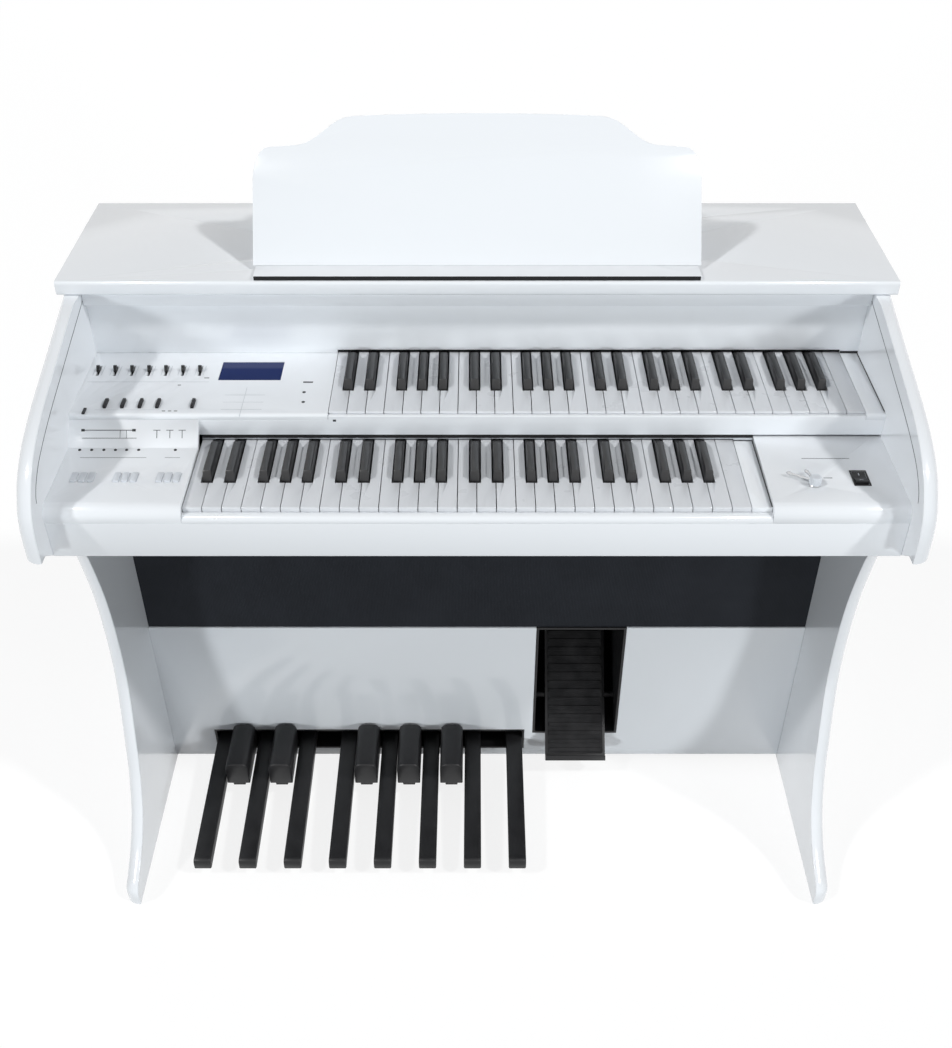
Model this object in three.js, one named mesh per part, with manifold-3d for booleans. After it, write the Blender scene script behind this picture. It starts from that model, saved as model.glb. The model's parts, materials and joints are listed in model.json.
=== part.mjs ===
// A two-manual electronic home organ with a spinet pedalboard.
// Millimetres, +Z up, the player sits on the -Y side, origin under the middle of the case on the floor.

import * as THREE from 'three';
import { mergeVertices } from 'three/addons/utils/BufferGeometryUtils.js';
import Module from 'manifold-3d';

const wasm = await Module();
wasm.setup();

// Case: driving sizes
const overall_width = 1090;
const overall_depth = 549;
const case_height = 895;
const top_thickness = 20;
const top_side_overhang = 6;
const top_rear_overhang = 12.5;
const top_front_overhang = 10.5;
const top_nose_radius = 4.4;
const side_thickness = 22;
const side_reach = 7;
const side_nose = { half: 10.5, depth: 18, rounds: 6 };
const back_thickness = 12;

// Clearances
const fit_gap = 0.3;
const cut_overrun = 2;
const weld = 0.5;

// Manuals: driving sizes
const natural_pitch = 23.5;
const natural_count = 29;
const naturals_per_octave = 7;
const naturals_in_first_group = 3;
const steps_in_first_group = 2 * naturals_in_first_group - 1;
const steps_per_octave = 2 * naturals_per_octave - 2;
const key_side_gap = 1.1;
const key_top_drop = 158;
const manual_rise = 40;
const manual_stagger = 147;
const key_front_setback = 36;
const end_block_width = 24.5;

// One natural key, heights measured down from the key top
const natural = {
  head_length: 50, skirt_depth: 16, shell: 3.4, nose_radius: 1.6, back_wall: 4, bar_depth: 14,
};

// One sharp key, heights measured from the natural key top
const sharp = {
  height: 12, crown: 1.4, root_depth: 10, side_gap: 0.7, side_taper: 1.3, crown_inset: 0.8,
  front_slope: 7, back_slope: 17, back_height: 2, rail_clearance: 1.5, bar_top: 1, bar_depth: 5,
};

// Hinge rails that the keys of one comb share, in three rows from front to back
const hinge = {
  reach: 210, rail_width: 10, rail_pitch: 14, rail_bottom: 22, rail_thickness: 8, pass_clearance: 4,
  edge_clearance: 2,
};

// Steel chassis under each manual
const chassis = { plate: 3, ridge_width: 6, front_setback: 8, rear_margin: 8, stop_setback: 44 };

// Boards round the keys
const keybed = { thickness: 15, rear_overlap: 85 };
const slip = { thickness: 10.5, height: 9, key_drop: 6, key_gap: 1, nose_radius: 7 };
const apron = { thickness: 18, depth: 51, rebate_depth: 16 };
const rail = { thickness: 5.8, key_drop: 2.5, lower_gap: 9, key_gap: 0.7 };
const deck = { thickness: 8, nose_radius: 16, lower_rise: 6, upper_nose: 4, rail_tuck: 12 };
const slope = { run: 24, top_drop: 7 };
const fallboard = { thickness: 12, key_gap: 5, visible_key: 145 };
const top_rail = { height: 20, reach: 11.5 };

// Lower front
const panel = { cloth_from_back: 247, cloth: 12, kick: 18, kick_proud: 3, kick_top: 304, floor_gap: 6 };
const bottom_thickness = 12;
const vent = { rows: 5, pitch: 16, width: 200, height: 5, from_side: 257, top_drop: 275 };
const inlet = { width: 48, height: 28, from_side: 90, centre_height: 120, depth: 7 };
const speaker = {
  from_side: 187, cone_radius: 68, dome_radius: 20, cone_depth: 18, rim_radius: 80, rim_thickness: 4,
  basket_radius: 55, basket_depth: 36, magnet_radius: 40, depth: 60, cloth_skin: 2,
};

// Pedalboard
const pedals = {
  count: 13, from_side: 90, natural_pitch: 70, natural_width: 27, front_setback: 40.5, front_bottom: 22,
  front_thickness: 18, bottom: 33, thickness: 17, hinge_from_back: 72, tail: 10, nose_radius: 8, edge: 1.5,
};
const raised = { width: 37, reach: 89, top: 86, lift: 7, round: 13, arm_width: 20, panel_gap: 3 };
const pedal_frame = {
  wall: 3, side_gap: 3.5, bottom: 22, top: 68, depth: 28, plate: 5, ridge_width: 8, rear_margin: 25,
};

// Expression pedal and its recess
const recess = { pedal_gap: 14, width: 142, bottom: 60, wall: 4, depth: 205 };
const expression = {
  pivot_setback: 48, pivot_rise: 45, heel: 110, toe: 150, width: 100, plate: 12, plate_offset: 8,
  axle_radius: 6, rim_length: 8, rim_height: 6, slope_degrees: 45, boss_width: 24,
};

// Music stand, its board measured along the leaning plane
const music = {
  half_width: 292.5, height: 197, thickness: 12, lean_degrees: 37, straight_side: 112, front_setback: 4.5,
  board_setback: 30, foot_depth: 56, foot_thickness: 6, foot_half: 289,
};
const bracket = {
  spacing: 360, width: 16, height: 104, foot: 92, pin_radius: 4, pin_length: 12, pin_setback: 60,
};

// Controls on the upper deck, their places across it as shares of its width
const slider = {
  count: 7, first_share: 0.0427, pitch_share: 0.0686, setback: 45.5, slot_width: 4, slot_length: 26,
  cap_width: 4, cap_length: 9, cap_height: 8, stem_width: 3.2, stem_length: 6, shoe_width: 9,
  shoe_length: 10, shoe_thickness: 2, pinch_share: 0.25,
};
const tab = {
  first_share: 0.128, pitch_share: 0.068, setback: 126.5, width: 3.6, length: 20, rise: 5, web_width: 12,
  web_thickness: 2, web_margin: 8, side_gap: 0.5, tip_width: 1.8, tip_back: 4.5,
};
const tab_steps = [0, 1, 2, 3, 5];
const lcd = {
  left_share: 0.5366, width_share: 0.25, length: 46, setback: 23, thickness: 18, flange: 4,
  flange_thickness: 2, sink: 0.8,
};

// Controls on the lower decks, their places across each deck as shares of its width
const button = {
  groups: 3, per_group: 3, first_share: 0.2073, group_share: 0.3201, pitch_share: 0.0646,
  width_share: 0.043, length: 18, setback: 64, rise: 2.2, web_width: 26, web_thickness: 2, web_margin: 4,
  side_gap: 0.4,
};
const knob = {
  side_share: 0.6524, setback: 50, radius: 7.5, height: 12, crown: 2, stem_radius: 3, stem_gap: 0.4,
  stem_below: 6, prong_radius: 1.7, prong_height: 5, tip_radius: 2.6, long_reach: 33, long_degrees: 150,
  short_reach: 21, short_degrees: 108,
};
const rocker = {
  side_share: 0.2957, setback: 62.75, width: 17, length: 27.5, side_gap: 0.6, end_gap: 1.6, depth: 8,
  ridge_drop: 2.3, pivot_drop: 3, tilt_degrees: 8, height: 5.5, foot_inset: 3,
};

// Inside the case
const power_supply = { width: 150, depth: 90, height: 40, from_side: 40, wall_gap: 10 };
const main_board = {
  width: 260, height: 140, thickness: 2, top_drop: 175, post_length: 10, post_size: 10, inset: 6,
};
const board_parts = { width: 40, height: 24, depth: 8, pitch: 62, count: 4 };

// Fineness of round forms
const arc_steps = 4;
const round_steps = 20;
const spline_steps = 3;
const vertex_grid = 0.001;
const merge_reach = vertex_grid / 10;

// Places that follow from the sizes above
const floor_z = 0;
const front_y = -overall_depth / 2;
const back_y = overall_depth / 2;
const side_front_y = front_y - side_reach;
const case_back_y = back_y - top_rear_overhang;
const side_depth = back_y - side_front_y;
const outer_half = overall_width / 2 - top_side_overhang;
const inner_half = outer_half - side_thickness;
const case_top_z = case_height - top_thickness;

const manual_width = natural_count * natural_pitch;
const lower_half = (manual_width + end_block_width) / 2;
const lower_left_x = -lower_half;
const upper_right_x = inner_half - end_block_width;
const upper_left_x = upper_right_x - manual_width;
const upper_deck_width = inner_half + upper_left_x;
const lower_deck_width = inner_half - lower_half;
const lower_front_y = front_y + key_front_setback;
const upper_front_y = lower_front_y + manual_stagger;
const lower_key_top = case_height - key_top_drop;
const upper_key_top = lower_key_top + manual_rise;

const rail_back_y = upper_front_y - rail.key_gap;
const rail_front_y = rail_back_y - rail.thickness;
const rail_bottom_z = lower_key_top + rail.lower_gap;
const upper_deck_bottom_z = upper_key_top - deck.thickness;
const fallboard_y = upper_front_y + fallboard.visible_key;
const fallboard_back_y = fallboard_y + fallboard.thickness;
const fallboard_top_z = case_top_z - top_rail.height;

const slip_back_y = lower_front_y - slip.key_gap;
const apron_front_y = slip_back_y - slip.thickness;
const apron_back_y = apron_front_y + apron.thickness;
const slip_top_z = lower_key_top - slip.key_drop;
const apron_top_z = slip_top_z - slip.height;
const apron_bottom_z = apron_top_z - apron.depth;
const keybed_top_z = apron_bottom_z + keybed.thickness;
const lower_deck_top_z = lower_key_top + deck.lower_rise;
const lower_deck_bottom_z = lower_deck_top_z - deck.thickness;

const cloth_y = case_back_y - panel.cloth_from_back;
const cloth_back_y = cloth_y + panel.cloth;
const kick_y = cloth_y - panel.kick_proud;
const kick_back_y = kick_y + panel.kick;
const back_front_y = case_back_y - back_thickness;
const bottom_top_z = panel.floor_gap + bottom_thickness;

const pedal_hinge_y = case_back_y - pedals.hinge_from_back;
const pedal_front_y = front_y + pedals.front_setback;
const pedal_first_x = pedals.from_side - inner_half;
const pedal_octaves = (pedals.count - 1) / steps_per_octave;
const pedal_end_x = pedal_first_x + Math.round(pedal_octaves * naturals_per_octave) * pedals.natural_pitch;
const slot_margin = pedals.natural_width / 2 + pedal_frame.side_gap;
const slot_left_x = pedal_first_x - slot_margin;
const slot_right_x = pedal_end_x + slot_margin;
const recess_left_x = slot_right_x + recess.pedal_gap;
const recess_right_x = recess_left_x + recess.width;
const speaker_z = (panel.kick_top + apron_bottom_z) / 2;

const stand_front_y = fallboard_y - top_rail.reach - top_front_overhang + music.front_setback;
const board_y = stand_front_y + music.board_setback;
const stand_top_z = case_height + music.foot_thickness;
const lean = THREE.MathUtils.degToRad(music.lean_degrees);

// Materials
const white_lacquer = new THREE.MeshStandardMaterial({ color: 0xf0f3f8, roughness: 0.18, metalness: 0 });
const natural_plastic = new THREE.MeshStandardMaterial({ color: 0xe9e9e8, roughness: 0.3, metalness: 0 });
const sharp_plastic = new THREE.MeshStandardMaterial({ color: 0x17171a, roughness: 0.4, metalness: 0 });
const black_plastic = new THREE.MeshStandardMaterial({ color: 0x151517, roughness: 0.5, metalness: 0 });
const button_plastic = new THREE.MeshStandardMaterial({ color: 0xe2e5ea, roughness: 0.4, metalness: 0 });
const speaker_cloth = new THREE.MeshStandardMaterial({ color: 0x24262b, roughness: 0.95, metalness: 0 });
const display_glass = new THREE.MeshStandardMaterial({ color: 0x27336b, roughness: 0.15, metalness: 0 });
const zinc_steel = new THREE.MeshStandardMaterial({ color: 0xa9adb3, roughness: 0.45, metalness: 0.9 });
const chrome_metal = new THREE.MeshStandardMaterial({ color: 0xd9dcdf, roughness: 0.12, metalness: 1 });
const board_green = new THREE.MeshStandardMaterial({ color: 0x1f5a3a, roughness: 0.6, metalness: 0 });
const grey_paint = new THREE.MeshStandardMaterial({ color: 0xd3d6db, roughness: 0.6, metalness: 0 });

const organ = new THREE.Group();

// Geometry helpers

function toSolid(geometry) {
  const bare = new THREE.BufferGeometry();
  bare.setAttribute('position', geometry.getAttribute('position').clone());
  if (geometry.index) {
    bare.setIndex(geometry.index.clone());
  }
  const merged = mergeVertices(bare, merge_reach);
  return new wasm.Manifold(new wasm.Mesh({
    numProp: 3,
    vertProperties: new Float32Array(merged.getAttribute('position').array),
    triVerts: new Uint32Array(merged.index.array),
  }));
}

// Vertices go to a fine grid, so that faces made to meet have the very same place
function toGeometry(solid) {
  const mesh = solid.getMesh();
  const places = Array.from(mesh.vertProperties, (value) => Math.round(value / vertex_grid) * vertex_grid);
  const geometry = new THREE.BufferGeometry();
  geometry.setAttribute('position', new THREE.Float32BufferAttribute(places, 3));
  geometry.setIndex(new THREE.BufferAttribute(new Uint32Array(mesh.triVerts), 1));
  return geometry;
}

function joined(pieces) {
  return pieces.slice(1).reduce((sum, piece) => sum.add(toSolid(piece)), toSolid(pieces[0]));
}

function cut(body, cutters) {
  return cutters.reduce((left, cutter) => left.subtract(toSolid(cutter)), body);
}

// A closed body through rings of points, each ring counter-clockwise seen from above, lowest first
function lofted(rings) {
  const sides = rings[0].length;
  const index = [];
  for (let ring = 0; ring + 1 < rings.length; ring += 1) {
    for (let side = 0; side < sides; side += 1) {
      const a = ring * sides + side;
      const b = ring * sides + ((side + 1) % sides);
      index.push(a, b, a + sides, b, b + sides, a + sides);
    }
  }
  const top = (rings.length - 1) * sides;
  for (let side = 1; side + 1 < sides; side += 1) {
    index.push(0, side + 1, side, top, top + side, top + side + 1);
  }
  const geometry = new THREE.BufferGeometry();
  geometry.setAttribute('position', new THREE.Float32BufferAttribute(rings.flat(2), 3));
  geometry.setIndex(index);
  return geometry;
}

function level(x0, x1, y0, y1, z) {
  return [[x0, y0, z], [x1, y0, z], [x1, y1, z], [x0, y1, z]];
}

function box(x0, x1, y0, y1, z0, z1) {
  return lofted([level(x0, x1, y0, y1, z0), level(x0, x1, y0, y1, z1)]);
}

function outline(points) {
  return new THREE.Shape(points.map(([a, b]) => new THREE.Vector2(a, b)));
}

function extruded(shape, length, bevel, steps, inset = bevel, rounds = 2) {
  const geometry = new THREE.ExtrudeGeometry(shape, {
    depth: length - 2 * bevel,
    bevelEnabled: bevel > 0,
    bevelThickness: bevel,
    bevelSize: inset,
    bevelOffset: -inset,
    bevelSegments: rounds,
    curveSegments: steps,
  });
  return geometry.translate(0, 0, bevel);
}

// A shape drawn in (y, z), run along x from x0 to x1
function alongX(shape, x0, x1, bevel = 0, steps = arc_steps, inset = bevel, rounds = 2) {
  const turn = new THREE.Matrix4().set(0, 0, 1, x0, 1, 0, 0, 0, 0, 1, 0, 0, 0, 0, 0, 1);
  return extruded(shape, x1 - x0, bevel, steps, inset, rounds).applyMatrix4(turn);
}

// A shape drawn in (x, z), run along y from y0 to y1
function alongY(shape, y0, y1, bevel = 0, steps = arc_steps) {
  const turn = new THREE.Matrix4().set(1, 0, 0, 0, 0, 0, -1, y1, 0, 1, 0, 0, 0, 0, 0, 1);
  return extruded(shape, y1 - y0, bevel, steps).applyMatrix4(turn);
}

function upright(radius, x, y, z0, z1) {
  const geometry = new THREE.CylinderGeometry(radius, radius, z1 - z0, round_steps);
  return geometry.rotateX(Math.PI / 2).translate(x, y, (z0 + z1) / 2);
}

function addPiece(name, form, material, parent = organ) {
  const solid = form instanceof THREE.BufferGeometry ? toSolid(form) : form;
  const mesh = new THREE.Mesh(toGeometry(solid), material);
  mesh.name = name;
  parent.add(mesh);
}

// Side panels: one board each, with a horn beside the keys and a concave leg that flares to a foot.
// The whole front edge is an elliptical nose. Places are shares of the panel's depth and of the case height.

const shoulder_share = 0.4827;
const horn_shares = [
  [0.2365, 0.933], [0.1502, 0.9162], [0.0908, 0.9], [0.0441, 0.8788], [0.0126, 0.8514], [0, 0.8212],
  [0, 0.7899],
];
const horn_tip_shares = [0.009, 0.7464];
const armpit_shares = [0.1718, 0.7464];
const leg_shares = [
  [0.2185, 0.6816], [0.2545, 0.6089], [0.2788, 0.5341], [0.2878, 0.4592], [0.286, 0.3911],
  [0.2743, 0.3251], [0.2527, 0.2603], [0.2257, 0.2022], [0.1906, 0.143], [0.1466, 0.1017],
  [0.089, 0.0704], [0.0423, 0.0547],
];
const toe_shares = [0, 0.0369];

// The outline runs past the back, the top and the floor, where the board is then sawn off square
function sideOutline() {
  const at = ([depth_share, height_share]) => new THREE.Vector2(
    side_front_y + depth_share * side_depth, height_share * case_height,
  );
  const over = side_nose.depth + cut_overrun;
  const shoulder = at([shoulder_share, case_top_z / case_height]);
  const [slope_end, ...horn] = horn_shares.map(at);
  const tip = at(horn_tip_shares);
  const armpit = at(armpit_shares);
  const toe = at(toe_shares);
  const slope_run = (shoulder.x - slope_end.x) / (shoulder.y - slope_end.y);
  const shape = new THREE.Shape();
  shape.moveTo(case_back_y + over, floor_z - over);
  shape.lineTo(case_back_y + over, case_top_z + over);
  shape.lineTo(shoulder.x + over * slope_run, case_top_z + over);
  shape.lineTo(slope_end.x, slope_end.y);
  shape.splineThru(horn);
  shape.lineTo(tip.x, tip.y);
  shape.lineTo(armpit.x, armpit.y);
  shape.splineThru(leg_shares.map(at));
  shape.lineTo(toe.x, toe.y);
  shape.lineTo(toe.x, floor_z - over);
  return shape;
}

function addSidePanels() {
  const { half, depth, rounds } = side_nose;
  const board = (x0, x1) => {
    const form = alongX(sideOutline(), x0, x1, half, spline_steps, depth, rounds);
    const room = box(x0, x1, side_front_y, case_back_y, floor_z, case_top_z);
    return toSolid(form).intersect(toSolid(room));
  };
  addPiece('left_side_panel', board(-outer_half, -inner_half), white_lacquer);
  addPiece('right_side_panel', board(inner_half, outer_half), white_lacquer);
}

// Top board, with a rounded front edge and blind holes for the pins of the music stand

function pinPlaces() {
  const half = bracket.spacing / 2;
  return [-half, half].map((x) => [x, board_y + bracket.pin_setback]);
}

function addTopBoard() {
  const front = fallboard_y - top_rail.reach - top_front_overhang;
  const r = top_nose_radius;
  const profile = new THREE.Shape();
  profile.moveTo(back_y, case_top_z);
  profile.lineTo(back_y, case_height);
  profile.lineTo(front + r, case_height);
  profile.absarc(front + r, case_height - r, r, Math.PI / 2, Math.PI, false);
  profile.absarc(front + r, case_top_z + r, r, Math.PI, 1.5 * Math.PI, false);
  const half = overall_width / 2;
  const hole_bottom_z = case_height - bracket.pin_length - fit_gap;
  const holes = pinPlaces().map(([x, y]) => (
    upright(bracket.pin_radius + fit_gap, x, y, hole_bottom_z, case_height + cut_overrun)
  ));
  addPiece('top_board', cut(toSolid(alongX(profile, -half, half)), holes), white_lacquer);
}

// Boards behind and between the manuals

function addFallboard() {
  const key_gap_z = upper_key_top + fallboard.key_gap;
  const left = upper_left_x - fit_gap;
  const right = upper_right_x + fit_gap;
  const face = outline([
    [-inner_half, fallboard_top_z], [-inner_half, upper_key_top], [left, upper_key_top], [left, key_gap_z],
    [right, key_gap_z], [right, upper_key_top], [inner_half, upper_key_top], [inner_half, fallboard_top_z],
  ]);
  addPiece('fallboard', alongY(face, fallboard_y, fallboard_back_y), white_lacquer);
  const reach_y = fallboard_y - top_rail.reach;
  addPiece('top_rail', box(
    -inner_half, inner_half, reach_y, fallboard_back_y, fallboard_top_z, case_top_z,
  ), white_lacquer);
}

function addUpperFrontRail() {
  const high_z = upper_key_top - rail.key_drop;
  const face = outline([
    [-inner_half, rail_bottom_z], [inner_half, rail_bottom_z], [inner_half, upper_deck_bottom_z],
    [upper_right_x, upper_deck_bottom_z], [upper_right_x, high_z], [upper_left_x, high_z],
    [upper_left_x, upper_deck_bottom_z], [-inner_half, upper_deck_bottom_z],
  ]);
  addPiece('upper_front_rail', alongY(face, rail_front_y, rail_back_y), white_lacquer);
}

function addEndBlocks() {
  const upper_face = new THREE.Shape();
  const nose = deck.upper_nose;
  const ridge_top_z = upper_key_top - hinge.rail_bottom;
  upper_face.moveTo(fallboard_back_y, upper_key_top);
  upper_face.lineTo(rail_front_y + nose, upper_key_top);
  upper_face.absarc(rail_front_y + nose, upper_key_top - nose, nose, Math.PI / 2, Math.PI, false);
  upper_face.lineTo(rail_front_y, upper_deck_bottom_z);
  upper_face.lineTo(rail_back_y + fit_gap, upper_deck_bottom_z);
  upper_face.lineTo(rail_back_y + fit_gap, ridge_top_z);
  upper_face.lineTo(fallboard_back_y, ridge_top_z);
  const upper_block = alongX(upper_face, upper_right_x + fit_gap, inner_half);
  addPiece('upper_end_block', upper_block, white_lacquer);
  const rebate_z = apron_top_z - apron.rebate_depth + fit_gap;
  const lower_face = outline([
    [lower_front_y, lower_key_top], [lower_front_y, rebate_z], [apron_back_y + fit_gap, rebate_z],
    [apron_back_y + fit_gap, keybed_top_z], [rail_front_y, keybed_top_z], [rail_front_y, lower_key_top],
  ]);
  const lower_block = alongX(lower_face, lower_left_x + manual_width + fit_gap, lower_half);
  addPiece('lower_end_block', lower_block, white_lacquer);
}

// Front of the lower manual: apron, key slip and keybed

function addLowerFront() {
  const rebate_z = apron_top_z - apron.rebate_depth;
  const apron_face = outline([
    [apron_front_y, apron_bottom_z], [apron_back_y, apron_bottom_z], [apron_back_y, rebate_z],
    [slip_back_y, rebate_z], [slip_back_y, apron_top_z], [apron_front_y, apron_top_z],
  ]);
  addPiece('front_apron', alongX(apron_face, -inner_half, inner_half), white_lacquer);
  const r = slip.nose_radius;
  const slip_face = new THREE.Shape();
  slip_face.moveTo(slip_back_y, apron_top_z);
  slip_face.lineTo(slip_back_y, slip_top_z);
  slip_face.lineTo(apron_front_y + r, slip_top_z);
  slip_face.absarc(apron_front_y + r, slip_top_z - r, r, Math.PI / 2, Math.PI, false);
  slip_face.lineTo(apron_front_y, apron_top_z);
  addPiece('lower_key_slip', alongX(slip_face, -lower_half, lower_half), white_lacquer);
  const keybed_back_y = cloth_y + keybed.rear_overlap;
  addPiece('keybed_board', box(
    -inner_half, inner_half, apron_back_y, keybed_back_y, apron_bottom_z, keybed_top_z,
  ), white_lacquer);
}

// Control decks beside the manuals

function addUpperDeck() {
  const nose = deck.upper_nose;
  const profile = new THREE.Shape();
  profile.moveTo(fallboard_back_y, upper_deck_bottom_z);
  profile.lineTo(fallboard_back_y, upper_key_top);
  profile.lineTo(rail_front_y + nose, upper_key_top);
  profile.absarc(rail_front_y + nose, upper_key_top - nose, nose, Math.PI / 2, Math.PI, false);
  profile.lineTo(rail_front_y, upper_deck_bottom_z);
  const through = (x, y, width, length) => box(
    x - width / 2, x + width / 2, y - length / 2, y + length / 2,
    upper_deck_bottom_z - cut_overrun, upper_key_top + cut_overrun,
  );
  const window_width = lcd.width_share * upper_deck_width;
  const holes = [
    ...sliderPlaces().map(([x, y]) => through(x, y, slider.slot_width, slider.slot_length)),
    ...tabPlaces().map(([x, y]) => (
      through(x, y, tab.width + 2 * tab.side_gap, tab.length + 2 * tab.side_gap)
    )),
    through(...lcdPlace(), window_width + 2 * fit_gap, lcd.length + 2 * fit_gap),
  ];
  const plate = toSolid(alongX(profile, -inner_half, upper_left_x - fit_gap));
  addPiece('upper_deck', cut(plate, holes), white_lacquer);
}

// The nose and flat of a lower deck, up to where the flat ends at the back
function deckNose(shape) {
  const r = deck.nose_radius;
  const inner_y = apron_front_y + deck.thickness;
  shape.moveTo(inner_y, apron_top_z);
  shape.lineTo(apron_front_y, apron_top_z);
  shape.lineTo(apron_front_y, lower_deck_top_z - r);
  shape.absarc(apron_front_y + r, lower_deck_top_z - r, r, Math.PI, Math.PI / 2, true);
}

function closeDeck(shape) {
  const inner_y = apron_front_y + deck.thickness;
  const inner_r = deck.nose_radius - deck.thickness;
  shape.lineTo(inner_y + inner_r, lower_deck_bottom_z);
  shape.lineTo(inner_y, lower_deck_bottom_z - inner_r);
}

function addLowerLeftDeck() {
  const top_y = rail_front_y - fit_gap;
  const foot_y = top_y - slope.run;
  const top_z = upper_key_top - slope.top_drop;
  const angle = Math.atan2(top_z - lower_deck_top_z, slope.run);
  const shape = new THREE.Shape();
  deckNose(shape);
  shape.lineTo(foot_y, lower_deck_top_z);
  shape.lineTo(top_y, top_z);
  shape.lineTo(top_y, top_z - deck.thickness / Math.cos(angle));
  shape.lineTo(foot_y + deck.thickness * Math.tan(angle / 2), lower_deck_bottom_z);
  closeDeck(shape);
  const width = button.width_share * lower_deck_width + 2 * button.side_gap;
  const length = button.length + 2 * button.side_gap;
  const holes = buttonPlaces().map(([x, y]) => box(
    x - width / 2, x + width / 2, y - length / 2, y + length / 2,
    lower_deck_bottom_z - cut_overrun, lower_deck_top_z + cut_overrun,
  ));
  const plate = toSolid(alongX(shape, -inner_half, -lower_half - fit_gap));
  addPiece('lower_left_deck', cut(plate, holes), white_lacquer);
}

function addLowerRightDeck() {
  const end_y = rail_front_y + deck.rail_tuck;
  const shape = new THREE.Shape();
  deckNose(shape);
  shape.lineTo(end_y, lower_deck_top_z);
  shape.lineTo(end_y, lower_deck_bottom_z);
  closeDeck(shape);
  const [knob_x, knob_y] = knobPlace();
  const [rocker_x, rocker_y] = rockerPlace();
  const low_z = lower_deck_bottom_z - cut_overrun;
  const high_z = lower_deck_top_z + cut_overrun;
  const holes = [
    upright(knob.stem_radius + knob.stem_gap, knob_x, knob_y, low_z, high_z),
    box(
      rocker_x - rocker.width / 2, rocker_x + rocker.width / 2,
      rocker_y - rocker.length / 2, rocker_y + rocker.length / 2, low_z, high_z,
    ),
  ];
  const plate = toSolid(alongX(shape, lower_half + fit_gap, inner_half));
  addPiece('lower_right_deck', cut(plate, holes), white_lacquer);
}

// Keys. The naturals C to E and F to B share their rear width evenly with the sharps between them,
// so every key has a bar of its own that runs back to a hinge rail.

function keySlots() {
  const naturals = [];
  const sharps = [];
  const late_group = naturals_per_octave - naturals_in_first_group;
  for (let i = 0; i < natural_count; i += 1) {
    const step = i % naturals_per_octave;
    const early = step < naturals_in_first_group;
    const in_group = early ? step : step - naturals_in_first_group;
    const members = early ? naturals_in_first_group : late_group;
    const slot = members * natural_pitch / (2 * members - 1);
    const left = (i - in_group) * natural_pitch + 2 * in_group * slot;
    const is_last = i + 1 === natural_count;
    const bar_right = is_last ? (i + 1) * natural_pitch : left + slot;
    naturals.push({ step, index: i, left, right: bar_right });
    if (in_group + 1 < members && !is_last) {
      sharps.push({ left: left + slot, right: left + 2 * slot });
    }
  }
  return { naturals, sharps };
}

function naturalHead() {
  const { head_length, skirt_depth, shell, nose_radius, back_wall, bar_depth } = natural;
  const shape = new THREE.Shape();
  shape.moveTo(0, -skirt_depth);
  shape.lineTo(shell, -skirt_depth);
  shape.lineTo(shell, -shell);
  shape.lineTo(head_length - back_wall, -shell);
  shape.lineTo(head_length - back_wall, -bar_depth);
  shape.lineTo(head_length, -bar_depth);
  shape.lineTo(head_length, 0);
  shape.lineTo(nose_radius, 0);
  shape.quadraticCurveTo(0, 0, 0, -nose_radius);
  return shape;
}

function hingeRow(row) {
  return hinge.reach + row * hinge.rail_pitch;
}

// A comb of naturals: heads, bars and the hinge rail that joins them. Row 0 hinges in front of row 1,
// so the bars of row 1 are thinner where they pass over the rail of row 0.
function naturalComb(keys, row) {
  const rail_y = hingeRow(row);
  const rail_low = -hinge.rail_bottom;
  const pass_low = rail_low + hinge.rail_thickness + hinge.pass_clearance;
  const bar_end = rail_y + hinge.rail_width / 2;
  const thin_start = hingeRow(0) - hinge.rail_width / 2 - hinge.edge_clearance;
  const forms = [];
  keys.forEach(({ index, left, right }) => {
    const gap = key_side_gap / 2;
    const head_left = index * natural_pitch + gap;
    forms.push(alongX(naturalHead(), head_left, head_left + natural_pitch - key_side_gap));
    const bar = (y0, y1, z0) => box(left + gap, right - gap, y0, y1, z0, 0);
    const thick_end = row === 0 ? bar_end : thin_start;
    forms.push(bar(natural.head_length - weld, thick_end, -natural.bar_depth));
    if (row > 0) {
      forms.push(bar(thick_end - weld, bar_end, pass_low));
    }
  });
  const rail_high = row === 0 ? -natural.bar_depth : pass_low;
  const last = keys[keys.length - 1];
  forms.push(box(
    keys[0].left + key_side_gap, last.right - key_side_gap, rail_y - hinge.rail_width / 2, bar_end,
    rail_low, rail_high + weld,
  ));
  return joined(forms);
}

function sharpComb(keys, visible) {
  const rail_y = hingeRow(2);
  const bar_end = rail_y + hinge.rail_width / 2;
  const front = natural.head_length + key_side_gap;
  const back = visible - sharp.rail_clearance;
  const bar_low = -sharp.bar_top - sharp.bar_depth;
  const side_height = sharp.root_depth + sharp.height - sharp.crown;
  const back_share = (sharp.root_depth + sharp.back_height) / side_height;
  const back_inset = back_share * sharp.side_taper;
  const back_run = back_share * sharp.front_slope;
  const forms = [];
  keys.forEach(({ left, right }) => {
    const x0 = left + sharp.side_gap;
    const x1 = right - sharp.side_gap;
    const taper = sharp.side_taper;
    const crown = taper + sharp.crown_inset;
    const crown_front = front + sharp.front_slope + sharp.crown;
    const crown_back = back - sharp.back_slope;
    forms.push(lofted([
      level(x0, x1, front, back, -sharp.root_depth),
      level(x0 + back_inset, x1 - back_inset, front + back_run, back, sharp.back_height),
      level(x0 + taper, x1 - taper, front + sharp.front_slope, crown_back, sharp.height - sharp.crown),
      level(x0 + crown, x1 - crown, crown_front, crown_back, sharp.height),
    ]));
    forms.push(box(x0 + taper, x1 - taper, back - weld, bar_end, bar_low, -sharp.bar_top));
  });
  const last = keys[keys.length - 1];
  forms.push(box(
    keys[0].left + key_side_gap, last.right - key_side_gap, rail_y - hinge.rail_width / 2, bar_end,
    -hinge.rail_bottom, bar_low + weld,
  ));
  return joined(forms);
}

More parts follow.
